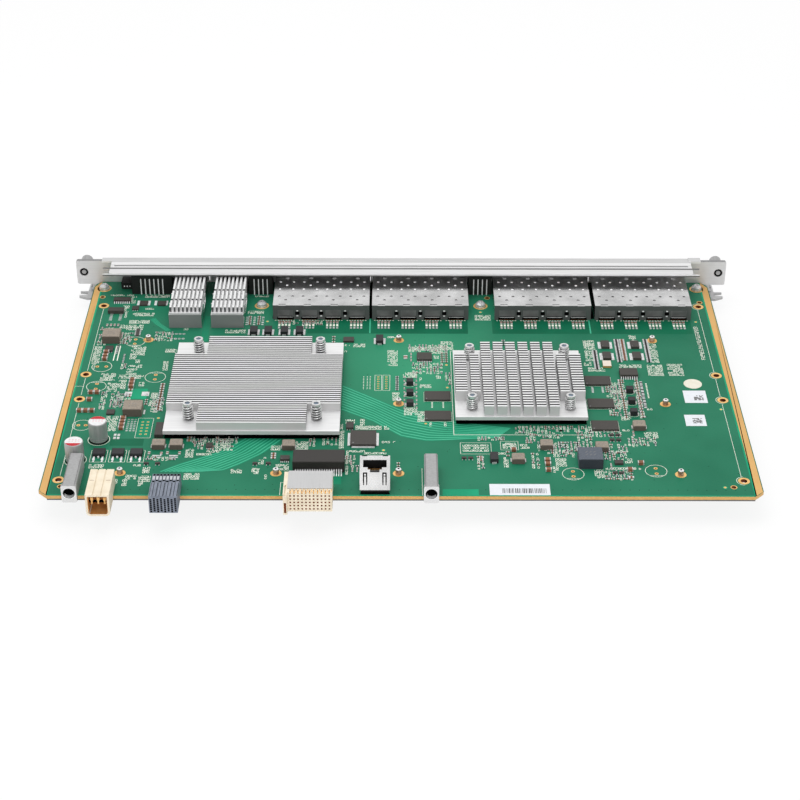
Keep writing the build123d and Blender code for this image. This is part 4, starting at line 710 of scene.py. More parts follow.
# Areas of printed marks: x from, x to, y from, y to
MARKS = (
    (-177, -163, 214.5, 217.5), (-164, -161, 205.5, 215), (-156, -141, 213, 216.5),
    (-154, -149, 197.5, 200.5), (-161, -148, 190, 194), (-162, -150, 181, 185),
    (-168, -164, 195, 203), (-166, -164, 188, 195), (-167, -153, 173, 179.5),
    (-129, -126, 173.5, 175), (-104, -92, 169.5, 174), (-178.5, -174, 134, 154),
    (-157, -153, 139, 155), (-153, -148.5, 143.5, 153.5), (-153, -150.5, 135, 138.5),
    (-156.5, -152.5, 130.5, 132.5), (-152, -148.5, 129.5, 133), (-171, -162.5, 115, 123.5),
    (-160.8, -146.5, 117.5, 121.5), (-157, -151, 121.5, 129), (-166, -160, 103, 113),
    (-160, -155.5, 106, 116), (-148.5, -145, 109, 114), (-137, -133.5, 126.5, 137),
    (-137, -130.5, 147, 151), (-140, -136.3, 96, 102), (-140.5, -136.5, 88, 94),
    (-137.5, -133.5, 81, 86), (-162.5, -155.5, 71, 77.5), (-160, -155.5, 62, 71),
    (-165.5, -157.5, 25.5, 29.5), (-142, -138, 27, 30), (-136.5, -132.8, 21, 27),
    (-115.5, -111, 36, 44.5), (-100, -92, 45, 56), (-99, -91, 52, 55),
    (-109.5, -101.5, 38, 40.5), (-105.5, -97.5, 40.5, 43.5), (-114.5, -106, 15, 21),
    (-145, -139, 15, 19.5), (-146, -143.5, 9, 15), (-138, -131.5, 13, 18.5),
    (-137.5, -135, 9, 13), (-151, -148.5, 11, 15.5), (-92, -82.5, 193, 196.5),
    (-89, -80.5, 213.5, 216.5), (-33, -30, 155, 156.5), (-28, -21, 153.5, 157.5),
    (-8, -3, 164.5, 166), (-33, -30, 147.5, 149.5), (-5, -1, 94, 103),
    (-30.5, -25.5, 70, 75), (-22.5, -20, 68, 75), (-25, -6.5, 64, 68),
    (-33, -32, 64, 70), (-10.5, -3, 50, 53), (-28, -19.5, 41, 44),
    (-20, -8, 39.5, 41.5), (-33.5, -31, 45, 63), (-57, -50, 44, 52),
    (-70, -65, 43, 48), (-73.5, -70, 34.5, 37), (-76, -73, 29.5, 34),
    (-66.5, -59.5, 24, 30), (-90, -84, 21, 25), (-79, -75, 20.5, 26),
    (-72, -70.5, 15.5, 20), (-29.5, -28, 20, 43), (44, 53.5, 185.5, 192),
    (23, 30.5, 150, 160.5), (4, 8, 150, 154), (9, 22, 149.5, 154),
    (18.5, 22, 140, 144), (1, 9, 119, 125), (19.8, 22.5, 118, 121.5),
    (10, 12, 115, 119), (10.5, 17, 108, 111.5), (1.5, 9, 79, 87), (9, 13, 72, 83),
    (54.5, 57, 27, 37), (69, 71, 26, 33), (80, 83.5, 22, 28), (106.5, 113, 151, 162),
    (144.5, 149, 136, 160), (134, 138, 161, 168), (106.5, 112, 138, 150),
    (105, 109.5, 132.5, 137), (107, 117, 126, 131), (125, 138, 130.5, 134),
    (141, 150, 121.5, 134), (152.5, 161.5, 121.5, 135), (118, 123, 101, 106),
    (120, 126, 86, 95), (136, 139.5, 84, 87), (121, 127, 74, 78),
    (120.5, 124.5, 62.5, 65), (132, 139.5, 56, 62), (108, 127, 25.2, 27.2),
    (102, 107, 17, 25), (119, 123, 31, 36), (50, 56, 39, 42), (82, 88, 28, 36), (17, 27, 146, 156),
    (-8, -2, 132, 150),
)

# Areas of small parts between marks
FIELDS = (
    (-168, -164.5, 84, 103), (-160, -155, 86, 103), (-145, -134, 160, 171), (-73, -61, 180, 185),
    (-59, -46.5, 179, 185), (6, 24, 123, 135.5), (24.5, 28.5, 110.5, 124.5),
    (61.5, 88, 60, 68), (67, 73, 50, 60), (84, 97, 42, 52), (124.5, 126, 47, 58),
    (95, 103.5, 46, 62), (103, 120, 57, 63), (112, 122, 40, 50), (110, 112.5, 24, 40),
    (40, 44.5, 25, 38), (81, 93, 37, 41), (69, 74, 26, 41), (-43, -34, 48, 55.5),
    (-50, -46, 47, 55), (-112, -106, 44, 55), (-161, -157.5, 128, 134), (122, 126.5, 97, 117),
    (131.5, 134.5, 76, 117), (104, 108, 40, 43), (-162.5, -151, 86, 101), (-139, -132, 82, 97),
    (-113, -88, 50, 56.5), (-104, -90, 42.5, 48), (84, 104, 62, 68), (104, 121, 34, 44),
    (95, 104, 34, 42), (115, 122, 78, 114), (122, 138, 48, 56), (-165, -158, 156, 170),
    (-178, -172.5, 155, 168), (-178, -170, 172, 176), (4, 27, 148, 156), (-136, -118, 33, 37),
    (-34, -24, 30, 38), (-27, -22, 22, 29), (70, 88, 55.5, 59.5), (73, 84, 43, 52), (78, 92, 40, 43.5),
    (41, 56, 53, 57), (107, 122, 15, 24),
)

# Columns of chips: kind, length, width and lying along, then x, first y, last y, how many
CHIP_COLUMNS = {
    ("ceramic", 2.4, 1.6, "x"): ((-152.2, 105.0, 105.0, 1), (120.9, 17.5, 17.5, 1)),
    ("ceramic", 2.2, 1.3, "x"): ((-134.6, 84, 111, 12),),
    ("ceramic", 1.6, 0.9, "x"): (
        (-90.2, 180, 189, 5), (-84.8, 180, 189, 5), (-39.6, 159, 165, 3), (42.5, 33.5, 37, 3),
        (57, 38, 41.5, 2),
    ),
    ("resistor", 1.5, 0.8, "x"): ((-2.3, 105.5, 119.5, 8),),
    ("ceramic", 1.4, 0.8, "y"): ((1.8, 86, 119, 9), (8.6, 86, 119, 9), (-26.5, 29.5, 31.8, 2)),
    ("ceramic", 1.5, 0.8, "x"): ((23.6, 136.5, 146, 5), (26, 136.5, 146, 5)),
    ("ceramic", 1.6, 0.9, "y"): ((5.7, 138, 145, 3),),
    ("resistor", 2.6, 1.0, "x"): ((112.3, 129, 149, 15), (126, 137, 162, 19), (143, 137, 162, 19)),
    ("ceramic", 2.6, 1.0, "x"): ((129.3, 139, 162, 17),),
    ("ceramic", 1.7, 1.0, "x"): ((124, 77, 116, 17), (133.2, 77, 116, 15)),
    ("resistor", 2.6, 1.5, "y"): ((135.6, 88, 113, 8),),
    ("resistor", 1.6, 0.9, "x"): (
        (59.8, 156, 161, 3), (85.5, 46.5, 51, 3), (88.5, 43, 48.5, 3), (95, 44, 50.5, 4),
    ),
    ("ceramic", 2.4, 1.3, "x"): ((-114.5, 52.5, 55.5, 2), (-68.2, 35.5, 39.5, 3)),
    ("ceramic", 1.4, 0.8, "x"): ((-1.5, 28, 30.5, 2), (-142, 89.5, 94, 3)),
    ("ceramic", 1.6, 1.0, "y"): ((126.2, 58.5, 61.5, 2),),
    ("ceramic", 2.0, 1.3, "y"): (
        (-134.8, 40, 40, 1), (-128.2, 39.6, 39.6, 1), (-125, 40, 40, 1), (-118.5, 40, 40, 1),
    ),
    ("resistor", 1.8, 1.0, "y"): ((-160.1, 136, 143, 3),),
    ("resistor", 1.6, 1.0, "y"): ((-165, 146, 154, 4),),
    ("ceramic", 3.2, 2.2, "y"): ((2.5, 141.5, 141.5, 1),),
    ("resistor", 1.4, 0.8, "x"): ((-135, 86.8, 89.5, 2),),
}

# Unfitted cans: x, y, radius, direction of the hatched segment in degrees, half the pads' distance
CAN_OUTLINES = (
    (-155.8, 159.5, 5.6, 270, 2.5), (-171.7, 130.8, 5.7, 180, 2.6), (-172, 109, 5.5, 90, 2.7),
    (-139.8, 119.2, 5.8, 90, 2.5), (-174.5, 68, 5.2, 180, 2.0), (90.6, 21, 5.7, 270, 2.4),
    (134.6, 23.9, 5.7, 270, 2.5),
)

PLATED_HOLES = [(side * 179.6, row) for side in SIDES for row in (14.6, 95.2, 122.0, 202.7)]
TOOLING_HOLES = ((-177.7, 8.5), (173.5, 8.7), (-181.8, 213.7), (181.0, 208.0), (52.3, 213.3))
DOTS = (
    (168.9, 8.5), (-133.5, 75.5), (-79.7, 183.8), (47.7, 195.5), (26, 133.3), (26, 108.3),
    (13.5, 70.3), (175.7, 184), (-9.5, 43.5), (177.3, 85.5),
)
PORT_X = [x for x, _ in centres("port_connectors")]
CAGES = [islands(f"port_cage_{i}")[0] for i in range(1, 5)]
CAGE_REAR, CAGE_TOP = CAGES[0][0].y, CAGES[0][1].z

# The two edges of each bundle of tracks, how many there are and how wide
BUNDLES = (
    (
        ((-84, 56), (-97, 42), (-118, 30), (-128, 22.5)),
        ((-64, 54), (-74, 40), (-85, 30), (-93, 24), (-108, 22.5)), 9, 0.75,
    ),
    (
        ((-33, 111), (-20, 101), (-10, 93), (0, 85), (28, 73), (60, 66)),
        ((-33, 84), (-15, 72), (-5, 62), (0, 57), (14, 52.5), (52, 56)), 10, 0.8,
    ),
    (((-150, 186), (-146, 180), (-139, 172)), ((-147, 188), (-143, 181), (-136, 173)), 4, 0.25),
)

# Areas of copper under the mask, in three greens: tone, x from, x to, y from, y to, height in sheets
GROUNDS = (
    ("mask_bright", -183, 183, 0.1, 1.0, 0.8), ("mask_dark", -55.5, 39.5, 169.5, 187, 0.3),
    ("mask_dark", 54, 172.5, 169.5, 187, 0.3), ("mask_bright", 21.5, 40.3, 0.4, 6.5, 1.0),
    ("mask_light", -117.5, -113.5, 160, 190, 0.5), ("mask_bright", -153.5, -142.5, 95.5, 106.5, 0.9),
    ("mask_light", -143.9, -136.4, 55.7, 75, 0.9), ("mask_dark", -157, -139, 47.5, 54.5, 0.5),
    ("mask_light", -35.5, -31.5, 11, 20, 0.9),
)


def board_ground():
    """Copper fields, bare side edges, tracks and small vias; painted shade under the near edge and under the
    heat sinks, painted highlights along the fronts of the sinks' bases.
    """
    for side in SIDES:
        edge, inner = side * (HALF_BOARD - 0.05), side * 184.3
        outline = [
            (inner, 0.3), (edge - side * 4.8, 0.3), (edge, 5.0), (edge, 226.0), (edge - side * 3, 231.6),
            (inner, 233.0),
        ]
        parts["tan"].polygon(outline[::side])
        parts["mask_bright"].line([(inner - side * 0.5, 0.4), (inner - side * 0.5, 232.5)], 1.0, SHEET * 0.8)
        parts["mask_dark"].line([(edge - side * 0.2, 5.0), (edge - side * 0.2, 226.0)], 0.45, SHEET * 1.2)
    # Painted shade along the bottom of the board's near edge.
    parts["groove"].box(-183.6, 183.6, -0.02, 0.3, -2.75, -1.95)
    for tone, x0, x1, y0, y1, sheets in GROUNDS:
        parts[tone].flat(x0, x1, y0, y1, SHEET * sheets)
    for x in (-18.5, 112):
        parts["trace"].band(x, 0.4, 170, 187, SHEET * 0.6)
    for bundle in BUNDLES:
        trace_bundle(*bundle)
    for x in range(-176, 180, 5):
        parts["via"].disc(x, 6, 0.3, SHEET * 0.5, 8)
    for _ in range(170):
        x, y = rng.uniform(-178, 178), rng.uniform(8, 190)
        parts["via"].disc(x, y, rng.choice((0.22, 0.3)), SHEET * 0.6, 8)
    for name, base_top in (("big_heatsink", 5.4), ("small_heatsink", 5.2)):
        low, high = islands(name)[0]
        # Painted shade under each heat sink's base, a painted highlight along the front of its top.
        parts["shade_black"].flat(low.x + 0.4, high.x - 0.4, low.y + 1.2, high.y - 0.4, SHEET * 1.5)
        parts["pale_and_highlight"].flat(low.x + 0.05, high.x - 0.05, low.y + 0.05, low.y + 0.9, base_top + SHEET)


def board_holes():
    """Plated rings, barrels, the studs' lands and small round targets."""
    gold, barrel = parts["gold"], parts["copper_dark"]
    for x, y in PLATED_HOLES:
        gold.ring(x, y, 1.74, 3.1)
        barrel.tube(x, y, 1.70, -1.95, 0.0)
    for x, y in TOOLING_HOLES:
        gold.ring(x, y, 1.29, 1.75)
        barrel.tube(x, y, 1.26, -1.95, 0.0, 24)
    for x, y in centres("board_studs"):
        gold.ring(x, y, 1.62, 3.0)
    for x, y in centres("panel_screws"):
        gold.ring(x, y, 3.3, 4.3)
    for x, y in DOTS:
        gold.disc(x, y, 0.75)
        parts["mask_bright"].ring(x, y, 0.75, 1.3)


# White lines: their points and width
PRINTED_LINES = (
    ([(28.6, 59), (103.3, 59)], 0.3), ([(28.6, 59), (28.6, 149)], 0.3), ([(28.6, 149), (103.3, 149)], 0.3),
    ([(-184, 109), (-179, 109)], 0.2), ([(-63, 0.8), (-63, 12.5), (-61.5, 12.5)], 0.25),
    ([(11, 0.8), (11, 26)], 0.22),
)
PRINTED_FRAMES = (
    (31.8, 48.3, 40, 51), (53.5, 63, 44, 52.5), (-144.3, -136, 55.3, 75.3), (-14.9, -11.1, 105, 121.8),
    (-10.4, -6.4, 105, 121.8),
)
BLOCKS_OF_PRINT = (
    (33, 47, 42, 49.5), (54.5, 62, 45.5, 51), (64, 69, 45, 50), (15.2, 17, 67.5, 71.5),
    (23.2, 25, 67.5, 71.5),
)


def frame_line(x0, x1, y0, y1, width):
    parts["silk"].line([(x0, y0), (x1, y0), (x1, y1), (x0, y1), (x0, y0)], width)


def board_print():
    """Lines, frames and outlines in white print."""
    silk = parts["silk"]
    for x in (-179.3, 178.7):
        for y0, y1 in ((18.5, 91), (99.5, 118), (126, 198.5)):
            silk.line([(x, y0), (x, y1)], 0.22)
    for x, y in PLATED_HOLES:
        if x > 0:
            silk.ring(x, y, 3.7, 3.95, sides=32, start=90, sweep=180)
    for points, width in PRINTED_LINES:
        silk.line(points, width)
    for area in PRINTED_FRAMES:
        frame_line(*area, 0.2)
    for area in BLOCKS_OF_PRINT:
        printed_marks(*area)
    for x in (-21.3, -19.2, -17.6):
        for y in steps(106, 121, 1.7):
            silk.pad(x, y, 0.25, 0.3)
    for y in steps(140, 178, 1.5):
        printed_marks(173.6, 175.8, y - 0.5, y + 0.5)
    for can in CAN_OUTLINES:
        capacitor_outline(*can)


def board_pads():
    """The transistors' round leads, two unfitted headers and bare pads."""
    lead, solder = parts["lead"], parts["solder"]
    for x, _ in centres("power_transistors"):
        parts["silk"].line(
            [(x - 4.3, 43), (x - 4.3, 31.5), (x + 4.3, 31.5), (x + 4.3, 43), (x + 3.4, 43)], 0.22
        )
        for side in SIDES:
            lead.prism(arc(x + side * 2.3, 33.6, 0.75, 16), 0.0, 0.62)
            lead.prism(arc(x + side * 2.3, 31.9, 0.5, 12), 0.0, 0.3)
        lead.prism(arc(x, 35.6, 0.55, 12), 0.0, 0.9)
    pads = [(x, y) for x in (-141.6, -138.7) for y in steps(57.5, 73.0, 3.0)]
    pads += [(x, y) for x in (-13.0, -8.4) for y in steps(106.0, 121.0, 2.4)]
    for x, y in pads:
        parts["mask_bright"].disc(x, y, 1.15, SHEET * 1.1, 16)
        parts["gold"].ring(x, y, 0.34, 0.66, SHEET * 1.3, sides=16)
        parts["via"].disc(x, y, 0.34, SHEET * 1.3, 12)
    for x0, x1 in ((-155, -151), (-145.5, -141.3)):
        solder.flat(x0, x1, 98.7, 103.2, SHEET * 1.3)
    solder.flat(-142.5, -141.5, 79.5, 84)
    for x in (-155.2, -153.2):
        for y in (55.2, 58.3):
            solder.pad(x, y, 0.7, 1.1)


# Columns of bare pads: material, their x, y from, y to, pitch, half width, half depth
PAD_COLUMNS = (
    ("solder", (-92, -87.5, -82.5), 179, 190, 2.2, 0.7, 0.5),
    ("solder", (-173.6, -168), 184.5, 193, 1.3, 0.9, 0.35),
    ("solder", (-149.5, -147.6, -145.8), 61.5, 75, 2.0, 0.6, 0.4),
    ("solder", (107.8, 113.5), 103, 109.5, 1.1, 0.6, 0.35),
    ("silk", (138.5,), 97, 113.5, 1.5, 0.4, 0.4),
    ("silk", (17.2, 23.4), 86.5, 93, 1.2, 0.4, 0.35),
)


def pad_rows():
    """Rows of pads and leads: behind the ports, beside blocks and round the memory."""
    solder, silk, lead = parts["solder"], parts["silk"], parts["lead"]
    for port in PORT_X:
        for x in (port - 3.4, port - 1.4, port + 0.6, port + 2.6):
            chip_part(x, 182.6, 2.6, 1.35, 0.5, "ceramic", "y")
            silk.band(x, 0.6, 178.3, 180.6)
            solder.band(x, 0.6, 175.4, 177.6)
        for x in steps(port - 6.5, port + 6.0, 1.6):
            silk.flat(x - 0.45, x + 0.3, 184.9, 185.6)
    for material, columns, y0, y1, pitch, half_x, half_y in PAD_COLUMNS:
        for x in columns:
            for y in steps(y0, y1, pitch):
                parts[material].pad(x, y, half_x, half_y)
    for x in (-166, -163.8):
        silk.band(x, 0.3, 137.5, 154.5)
    for x in (-159.0, -152.6, -148.6, -142.0):
        for y in steps(203.2, 208.8, 0.95):
            lead.block(x, y, 0.75, 0.3, 0.3)
    for y in steps(166.5, 173.5, 1.4):
        solder.box(-157.2, -153.6, y - 0.35, y + 0.35, 0.0, 0.35)
    parts["package"].box(-156.4, -154.5, 165.6, 174, 0.0, 0.6)
    for x in steps(-136, -127, 2.2):
        for y in (163, 168.6):
            solder.ring(x, y, 0.35, 0.9, sides=12)
    for x in (-130.5, -121.5):
        for y in (36.2, 38.0):
            solder.pad(x, y, 2.4, 0.5)


# Small transistors, and packages as x, y, width, depth, height
SMALL_TRANSISTORS = (
    (-135.2, 29.8), (-129.2, 29.8), (-77.5, 29.8), (-70.5, 30.0), (33.5, 35.5), (37, 35.5),
    (114, 58.5), (117.5, 58.5), (114, 53.5), (117.5, 53.5), (112.7, 21.5), (116, 21.5),
)
SMALL_PACKAGES = (
    (-160, 199, 4, 4, 1.0), (-169.8, 150, 4.6, 5.6, 1.2), (-28, 67, 4, 6, 1.4), (-103.2, 47.3, 3.5, 4.2, 1.0),
)


def small_parts():
    """Transistors, packages and chip parts too small for the solids, and the print round them."""
    solder, package = parts["solder"], parts["package"]
    for x, y in SMALL_TRANSISTORS:
        package.block(x, y, 1.3, 0.7, 1.0, 0.15)
        for dx, dy in ((-0.9, -1.2), (0.9, -1.2), (0.0, 1.2)):
            solder.block(x + dx, y + dy, 0.25, 0.5, 0.25)
    for x, y, width, depth, height in SMALL_PACKAGES:
        package.block(x, y, width / 2, depth / 2, height, 0.1)
        for lead_x in steps(x - width / 2, x + width / 2, 1.27):
            solder.ends(lead_x, y, depth / 2, depth / 2 + 0.9, 0.22, 0.3, "y")
    for i in range(4):
        chip_part(-174.5 + 6.5 * i / 3, 178.5, 2.0, 1.2, 0.6, "ceramic", "y")
    for (kind, length, width, along), columns in CHIP_COLUMNS.items():
        for x, y0, y1, count in columns:
            for i in range(count):
                y = y0 + (y1 - y0) * i / max(1, count - 1)
                chip_part(x, y, length, width, 0.6, kind, along)
    for area in MARKS:
        printed_marks(*area)
    for area in FIELDS:
        part_field(*area)


# Flat packages with leads on two sides: x, y, width, depth; the first four have them at left and right
LEADED_SIDEWAYS = tuple((x, y, 4.9, 7.4) for y in (155.7, 142.7) for x in (119.0, 136.3))
LEADED_UPRIGHT = ((-61.9, 34.2, 4.9, 3.9), (13.4, 141.1, 8.7, 7.9))
SQUARE_CHIP_X, SQUARE_CHIP_Y, SQUARE_CHIP_HALF = -20.5, 54.0, 7.0


def package_detail():
    """Leads, end caps, pin marks and printed outlines of the larger packages."""
    solder, silk, lead, ink = parts["solder"], parts["silk"], parts["lead"], parts["ink_pale"]
    for x, y in centres("memory_chips"):
        ink.disc(x - 6.2, y - 3.4, 0.4, 1.1 + SHEET, 16)
        frame_line(x - 7.6, x + 7.6, y - 5, y + 5, 0.15)
    x, y, half = SQUARE_CHIP_X, SQUARE_CHIP_Y, SQUARE_CHIP_HALF
    for offset in steps(-6.2, 6.2, 0.62):
        lead.ends(x + offset, y, half, half + 1.4, 0.2, 0.35, "y")
        lead.ends(x, y + offset, half, half + 1.4, 0.22, 0.35)
    ink.disc(x - 5.4, y - 5.4, 0.5, 1.6 + SHEET, 16)
    for x, y, width, depth in LEADED_SIDEWAYS:
        for offset in steps(-depth / 2, depth / 2, 0.8):
            lead.ends(x, y + offset, width / 2, width / 2 + 1.7, 0.26, 0.45)
    for x, y, width, depth in LEADED_UPRIGHT:
        for offset in steps(-width / 2, width / 2, 1.0):
            lead.ends(x + offset, y, depth / 2, depth / 2 + 1.1, 0.2, 0.4, "y")
    for x, y, width, depth in LEADED_SIDEWAYS + LEADED_UPRIGHT:
        ink.disc(x - width / 2 + 0.9, y - depth / 2 + 0.9, 0.3, 1.6 + SHEET, 12)
    for x, y in centres("small_inductors"):
        solder.ends(x, y, 3.3, 4.1, 1.6, 0.5)
    for low, high in islands("chokes"):
        x, y = ((low + high) / 2).xy
        if high.y - low.y < 5.0:
            solder.ends(x, y, 1.9, 2.6, 1.3, 0.6)
            silk.ring(x, y, 2.9, 3.1, sides=24)
            continue
        solder.ends(x, y, 3.5, 4.3, 1.2, 0.9, "y")
        if y > 100.0:
            for row in steps(y - 3.2, y + 3.2, 1.05):
                lead.ends(x, row, 2.1, 3.4, 0.36, 0.5)


def labels():
    """Bare labels: a bar strip with no figures, a round sticker and two small squares of cells."""
    white, ink, thick = parts["label"], parts["ink"], 0.12
    white.box(46, 77.5, 1, 11.3, 0.0, thick)
    x = 52.6
    while x < 75.2:
        width = rng.choice((0.22, 0.22, 0.42, 0.62))
        ink.flat(x, x + width, 2.8, 7.2, thick + SHEET)
        x += width + rng.choice((0.24, 0.4, 0.4, 0.7))
    parts["label_cream"].prism(arc(165, 112.7, 5.15, 48), 0.0, thick)
    cell = 0.75
    for x0, x1, y0, y1 in ((158.3, 171, 92.3, 105.3), (156, 167.3, 68.3, 79.7)):
        white.box(x0, x1, y0, y1, 0.0, thick)
        for i in range(7):
            for j in range(7):
                if rng.random() < 0.55:
                    left, near = x1 - 7.2 + i * cell, y0 + 2.6 + j * cell
                    parts["ink_pale"].flat(left, left + cell, near, near + cell, thick + SHEET)


# Detail on the solids

def dress_springs():
    """The eight coil springs, which stand for the plain sleeves of the solids."""
    vertices, faces = [], []
    turns, per_turn, sides = 5, 28, 8
    wire, coil = 0.5, 2.58
    count = turns * per_turn
    for low, high in islands("heatsink_springs"):
        first, axis = len(vertices), (low + high) / 2
        for i in range(count + 1):
            angle = math.tau * i / per_turn
            outward = Vector((math.cos(angle), math.sin(angle), 0.0))
            height = low.z + wire + (high.z - low.z - 2 * wire) * i / count
            centre = Vector((axis.x, axis.y, height)) + coil * outward
            for k in range(sides):
                around = math.tau * k / sides
                offset = math.cos(around) * outward + math.sin(around) * Vector((0.0, 0.0, 1.0))
                vertices.append(place(*(centre + wire * offset)))
        for i in range(count):
            for k in range(sides):
                a, b = first + i * sides + k, first + i * sides + (k + 1) % sides
                faces.append((a, a + sides, b + sides, b))
    piece = add_piece("coil_springs", vertices, faces, MATERIALS["spring_steel"])
    piece.data.polygons.foreach_set("use_smooth", [True] * len(faces))
    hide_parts("heatsink_springs")


# Vents of each port, drawn as discs of painted light: rows from the cage's rear wall, places across, radius
LIT_VENTS = ((20.3, (-4, 4), 0.75), (25.2, (0,), 0.7), (29.4, (-4, 4), 0.8), (34.0, (0,), 1.25))
HOOD_TOP, HOOD_REAR = 15.4, 215.35


def dress_cages():
    """Vents near the hood as painted light; the cages' rear windows and slots, with painted shade and pale
    edges; painted shade between cages; on the hood a painted shade line, a painted highlight on its rear edge
    and a mid-grey strip below.
    """
    pale_and_highlight, shade_black, mid = parts["pale_and_highlight"], parts["shade_black"], parts["cage_mid"]
    rear = CAGE_REAR
    for port in PORT_X:
        for row, offsets, radius in LIT_VENTS:
            for offset in offsets:
                pale_and_highlight.disc(port + offset, rear + row, radius, CAGE_TOP + SHEET, 16)
        mid.across(port, 4.6, rear - 0.04, rear, 2.6, 6.4)
        # Painted shade low on the port's rear, with a painted highlight line above it.
        shade_black.across(port, 5.0, rear - 0.06, rear, 0.05, 1.5)
        pale_and_highlight.across(port, 4.2, rear - 0.08, rear, 1.55, 1.75)
        parts["copper_dark"].across(port, 4.4, rear - 0.3, rear - 0.1, 0.0, 0.2)
    for low, high in CAGES:
        for offset in (-14.25, 0.0, 14.25):
            x = (low.x + high.x) / 2 + offset
            # Painted shade in the rear slots, with pale bits above and below.
            shade_black.across(x, 1.3, rear - 0.08, rear, 3.2, 5.4)
            for z in (2.2, 5.6):
                pale_and_highlight.across(x, 0.55, rear - 0.1, rear, z, z + 0.7)
    for x0, x1 in ((-18.9, -17.4), (113.2, 115.4), (-76.9, -76.5)):
        # Painted shade in the gaps between cages.
        shade_black.flat(x0, x1, 187.5, 233.0, SHEET * 2)
    # Painted shade line on the hood for its groove, then a painted highlight on the hood's rear edge.
    parts["groove"].flat(-181.5, 181.5, 221.2, 222.9, HOOD_TOP + SHEET)
    pale_and_highlight.box(-181.0, 181.0, HOOD_REAR - 0.05, HOOD_REAR - 0.01, 14.45, HOOD_TOP)
    mid.box(-181.0, 181.0, HOOD_REAR + 0.01, 216.0, 13.7, 14.4)


def dress_power():
    """The power connector's inside in painted shade of its cream, painted shadow behind its blades and
    painted shade in the slots of its top.
    """
    brown, shade_black = parts["cream_in_shade"], parts["shade_black"]
    x, half, floor, roof = centres("power_connector")[0].x, 5.0, -3.08, 7.6
    # Painted shade: the cream plastic shown brown inside the socket.
    brown.across(x, half, -12.2, -1.9, floor, -3.0)
    for side in SIDES:
        brown.block(x + side * (half - 0.085), -7.1, 0.115, 5.2, roof, floor)
    brown.across(x, half, -2.1, -1.95, -3.0, 3.0)
    # Painted shadow behind the blades.
    for y0, y1, low, high in ((-2.2, -1.95, 3.0, roof), (-7.0, -6.9, 5.0, 7.65), (-9.0, -8.9, 1.9, 3.6)):
        shade_black.across(x, half, y0, y1, low, high)
    for blade_x, _ in centres("power_blades"):
        parts["gold"].across(blade_x, 0.4, -9.45, -9.32, 1.4, 4.9)
    # Painted shade in the slots of the top.
    for offset in (-4.2, 4.2):
        parts["hole_shade_brown"].band(x + offset, 1.1, 1.1, 1.35, 8.8 + SHEET)


def dress_signal():
    """The grey connector's contact holes in painted shade, and the slots in painted shade and pale bands of
    its two tops.
    """
    shade_black, pale, middle = parts["shade_black"], parts["pale_grey"], centres("signal_connector")[0].x
    low_top, high_top = 7.0, 8.0
    for column in range(8):
        x, odd = middle + (column - 3.5) * 1.8, column % 2
        # Painted shade in the contact holes.
        for row in range(7):
            z = -1.605 + 1.22 * row + 0.6 * odd
            if z < 7.6:
                shade_black.across(x, 0.5, -12.05, -12.0, z - 0.46, z + 0.46)
        pale.flat(x - 0.68, x + 0.5, 4.6, 7.9, low_top + SHEET)
        # Painted shade in the slots of both tops.
        shade_black.band(x, 0.55, 8.1, 9.7, low_top + SHEET * 1.4)
        near = 3.2 if odd else 2.3
        shade_black.band(x, 0.6, near, near + 1.2, low_top + SHEET * 1.4)
        shade_black.flat(x + 0.78, x + 1.02, 2.4, 9.9, low_top + SHEET * 1.2)
        shade_black.flat(x + 0.78, x + 1.02, -12.0, 0.5, high_top + SHEET)
        if not odd:
            shade_black.flat(x - 0.6, x - 0.44, -11.6, 0.2, high_top + SHEET)


def dress_grid():
    """The backplane connector's contacts: painted shade in brown down in each hole, gold in the top slots;
    painted shade in its wing's opening.
    """
    brown, gold, pitch = parts["hole_shade_brown"], parts["gold"], 2.0
    for column in range(11):
        x = -56.8 + pitch * column
        # Painted shade down in each hole.
        for row in range(5):
            z = 7.4 - pitch * row
            brown.across(x, 0.42, -10.76, -10.7, z - 0.42, z + 0.42)
        gold.band(x, 0.4, -10.6, -8.2, 8.75)
        gold.flat(x + 0.78, x + 1.22, -10.6, -7.7, 9.6 + SHEET)
    # Painted shade in the wing's opening.
    brown.box(-60.0, -58.9, -12.6, -12.4, -1.8, 4.2)


def dress_jack():
    """Contact wires down in the jack's well; painted shade on the well's floor, in the windows round its
    spring fingers, in slots on its top and along its foot, with a painted highlight on each finger.
    """
    gold, shade_black, middle = parts["gold"], parts["shade_black"], centres("jack_shell")[0].x
    for i in range(8):
        x = middle + (i - 3.5) * 1.02
        gold.across(x, 0.14, 12.2, 12.5, 3.2, 9.0)
        gold.across(x, 0.14, 10.6, 12.2, 8.6, 8.85)
    # Painted shade on the floor of the well.
    shade_black.across(middle, 6.0, 6.1, 12.7, 3.05, 3.1)
    for side in SIDES:
        x = middle + side * 5.0
        # Painted shade in the window round the spring finger, a painted highlight on the finger.
        shade_black.across(x, 1.0, 1.92, 1.98, 11.0, 13.4)
        parts["pale_and_highlight"].across(x, 0.45, 1.88, 1.92, 11.6, 12.6)
        for leg in (-0.8, 0.8):
            shade_black.across(x + leg, 0.25, 1.92, 1.98, 5.6, 11.2)
        shade_black.band(middle + side * 5.4, 1.4, 16.4, 17.1, 14.0 + SHEET)
    # Painted shade along the foot of the front face.
    shade_black.across(middle, 7.6, 1.85, 2.0, 0.0, 0.9)


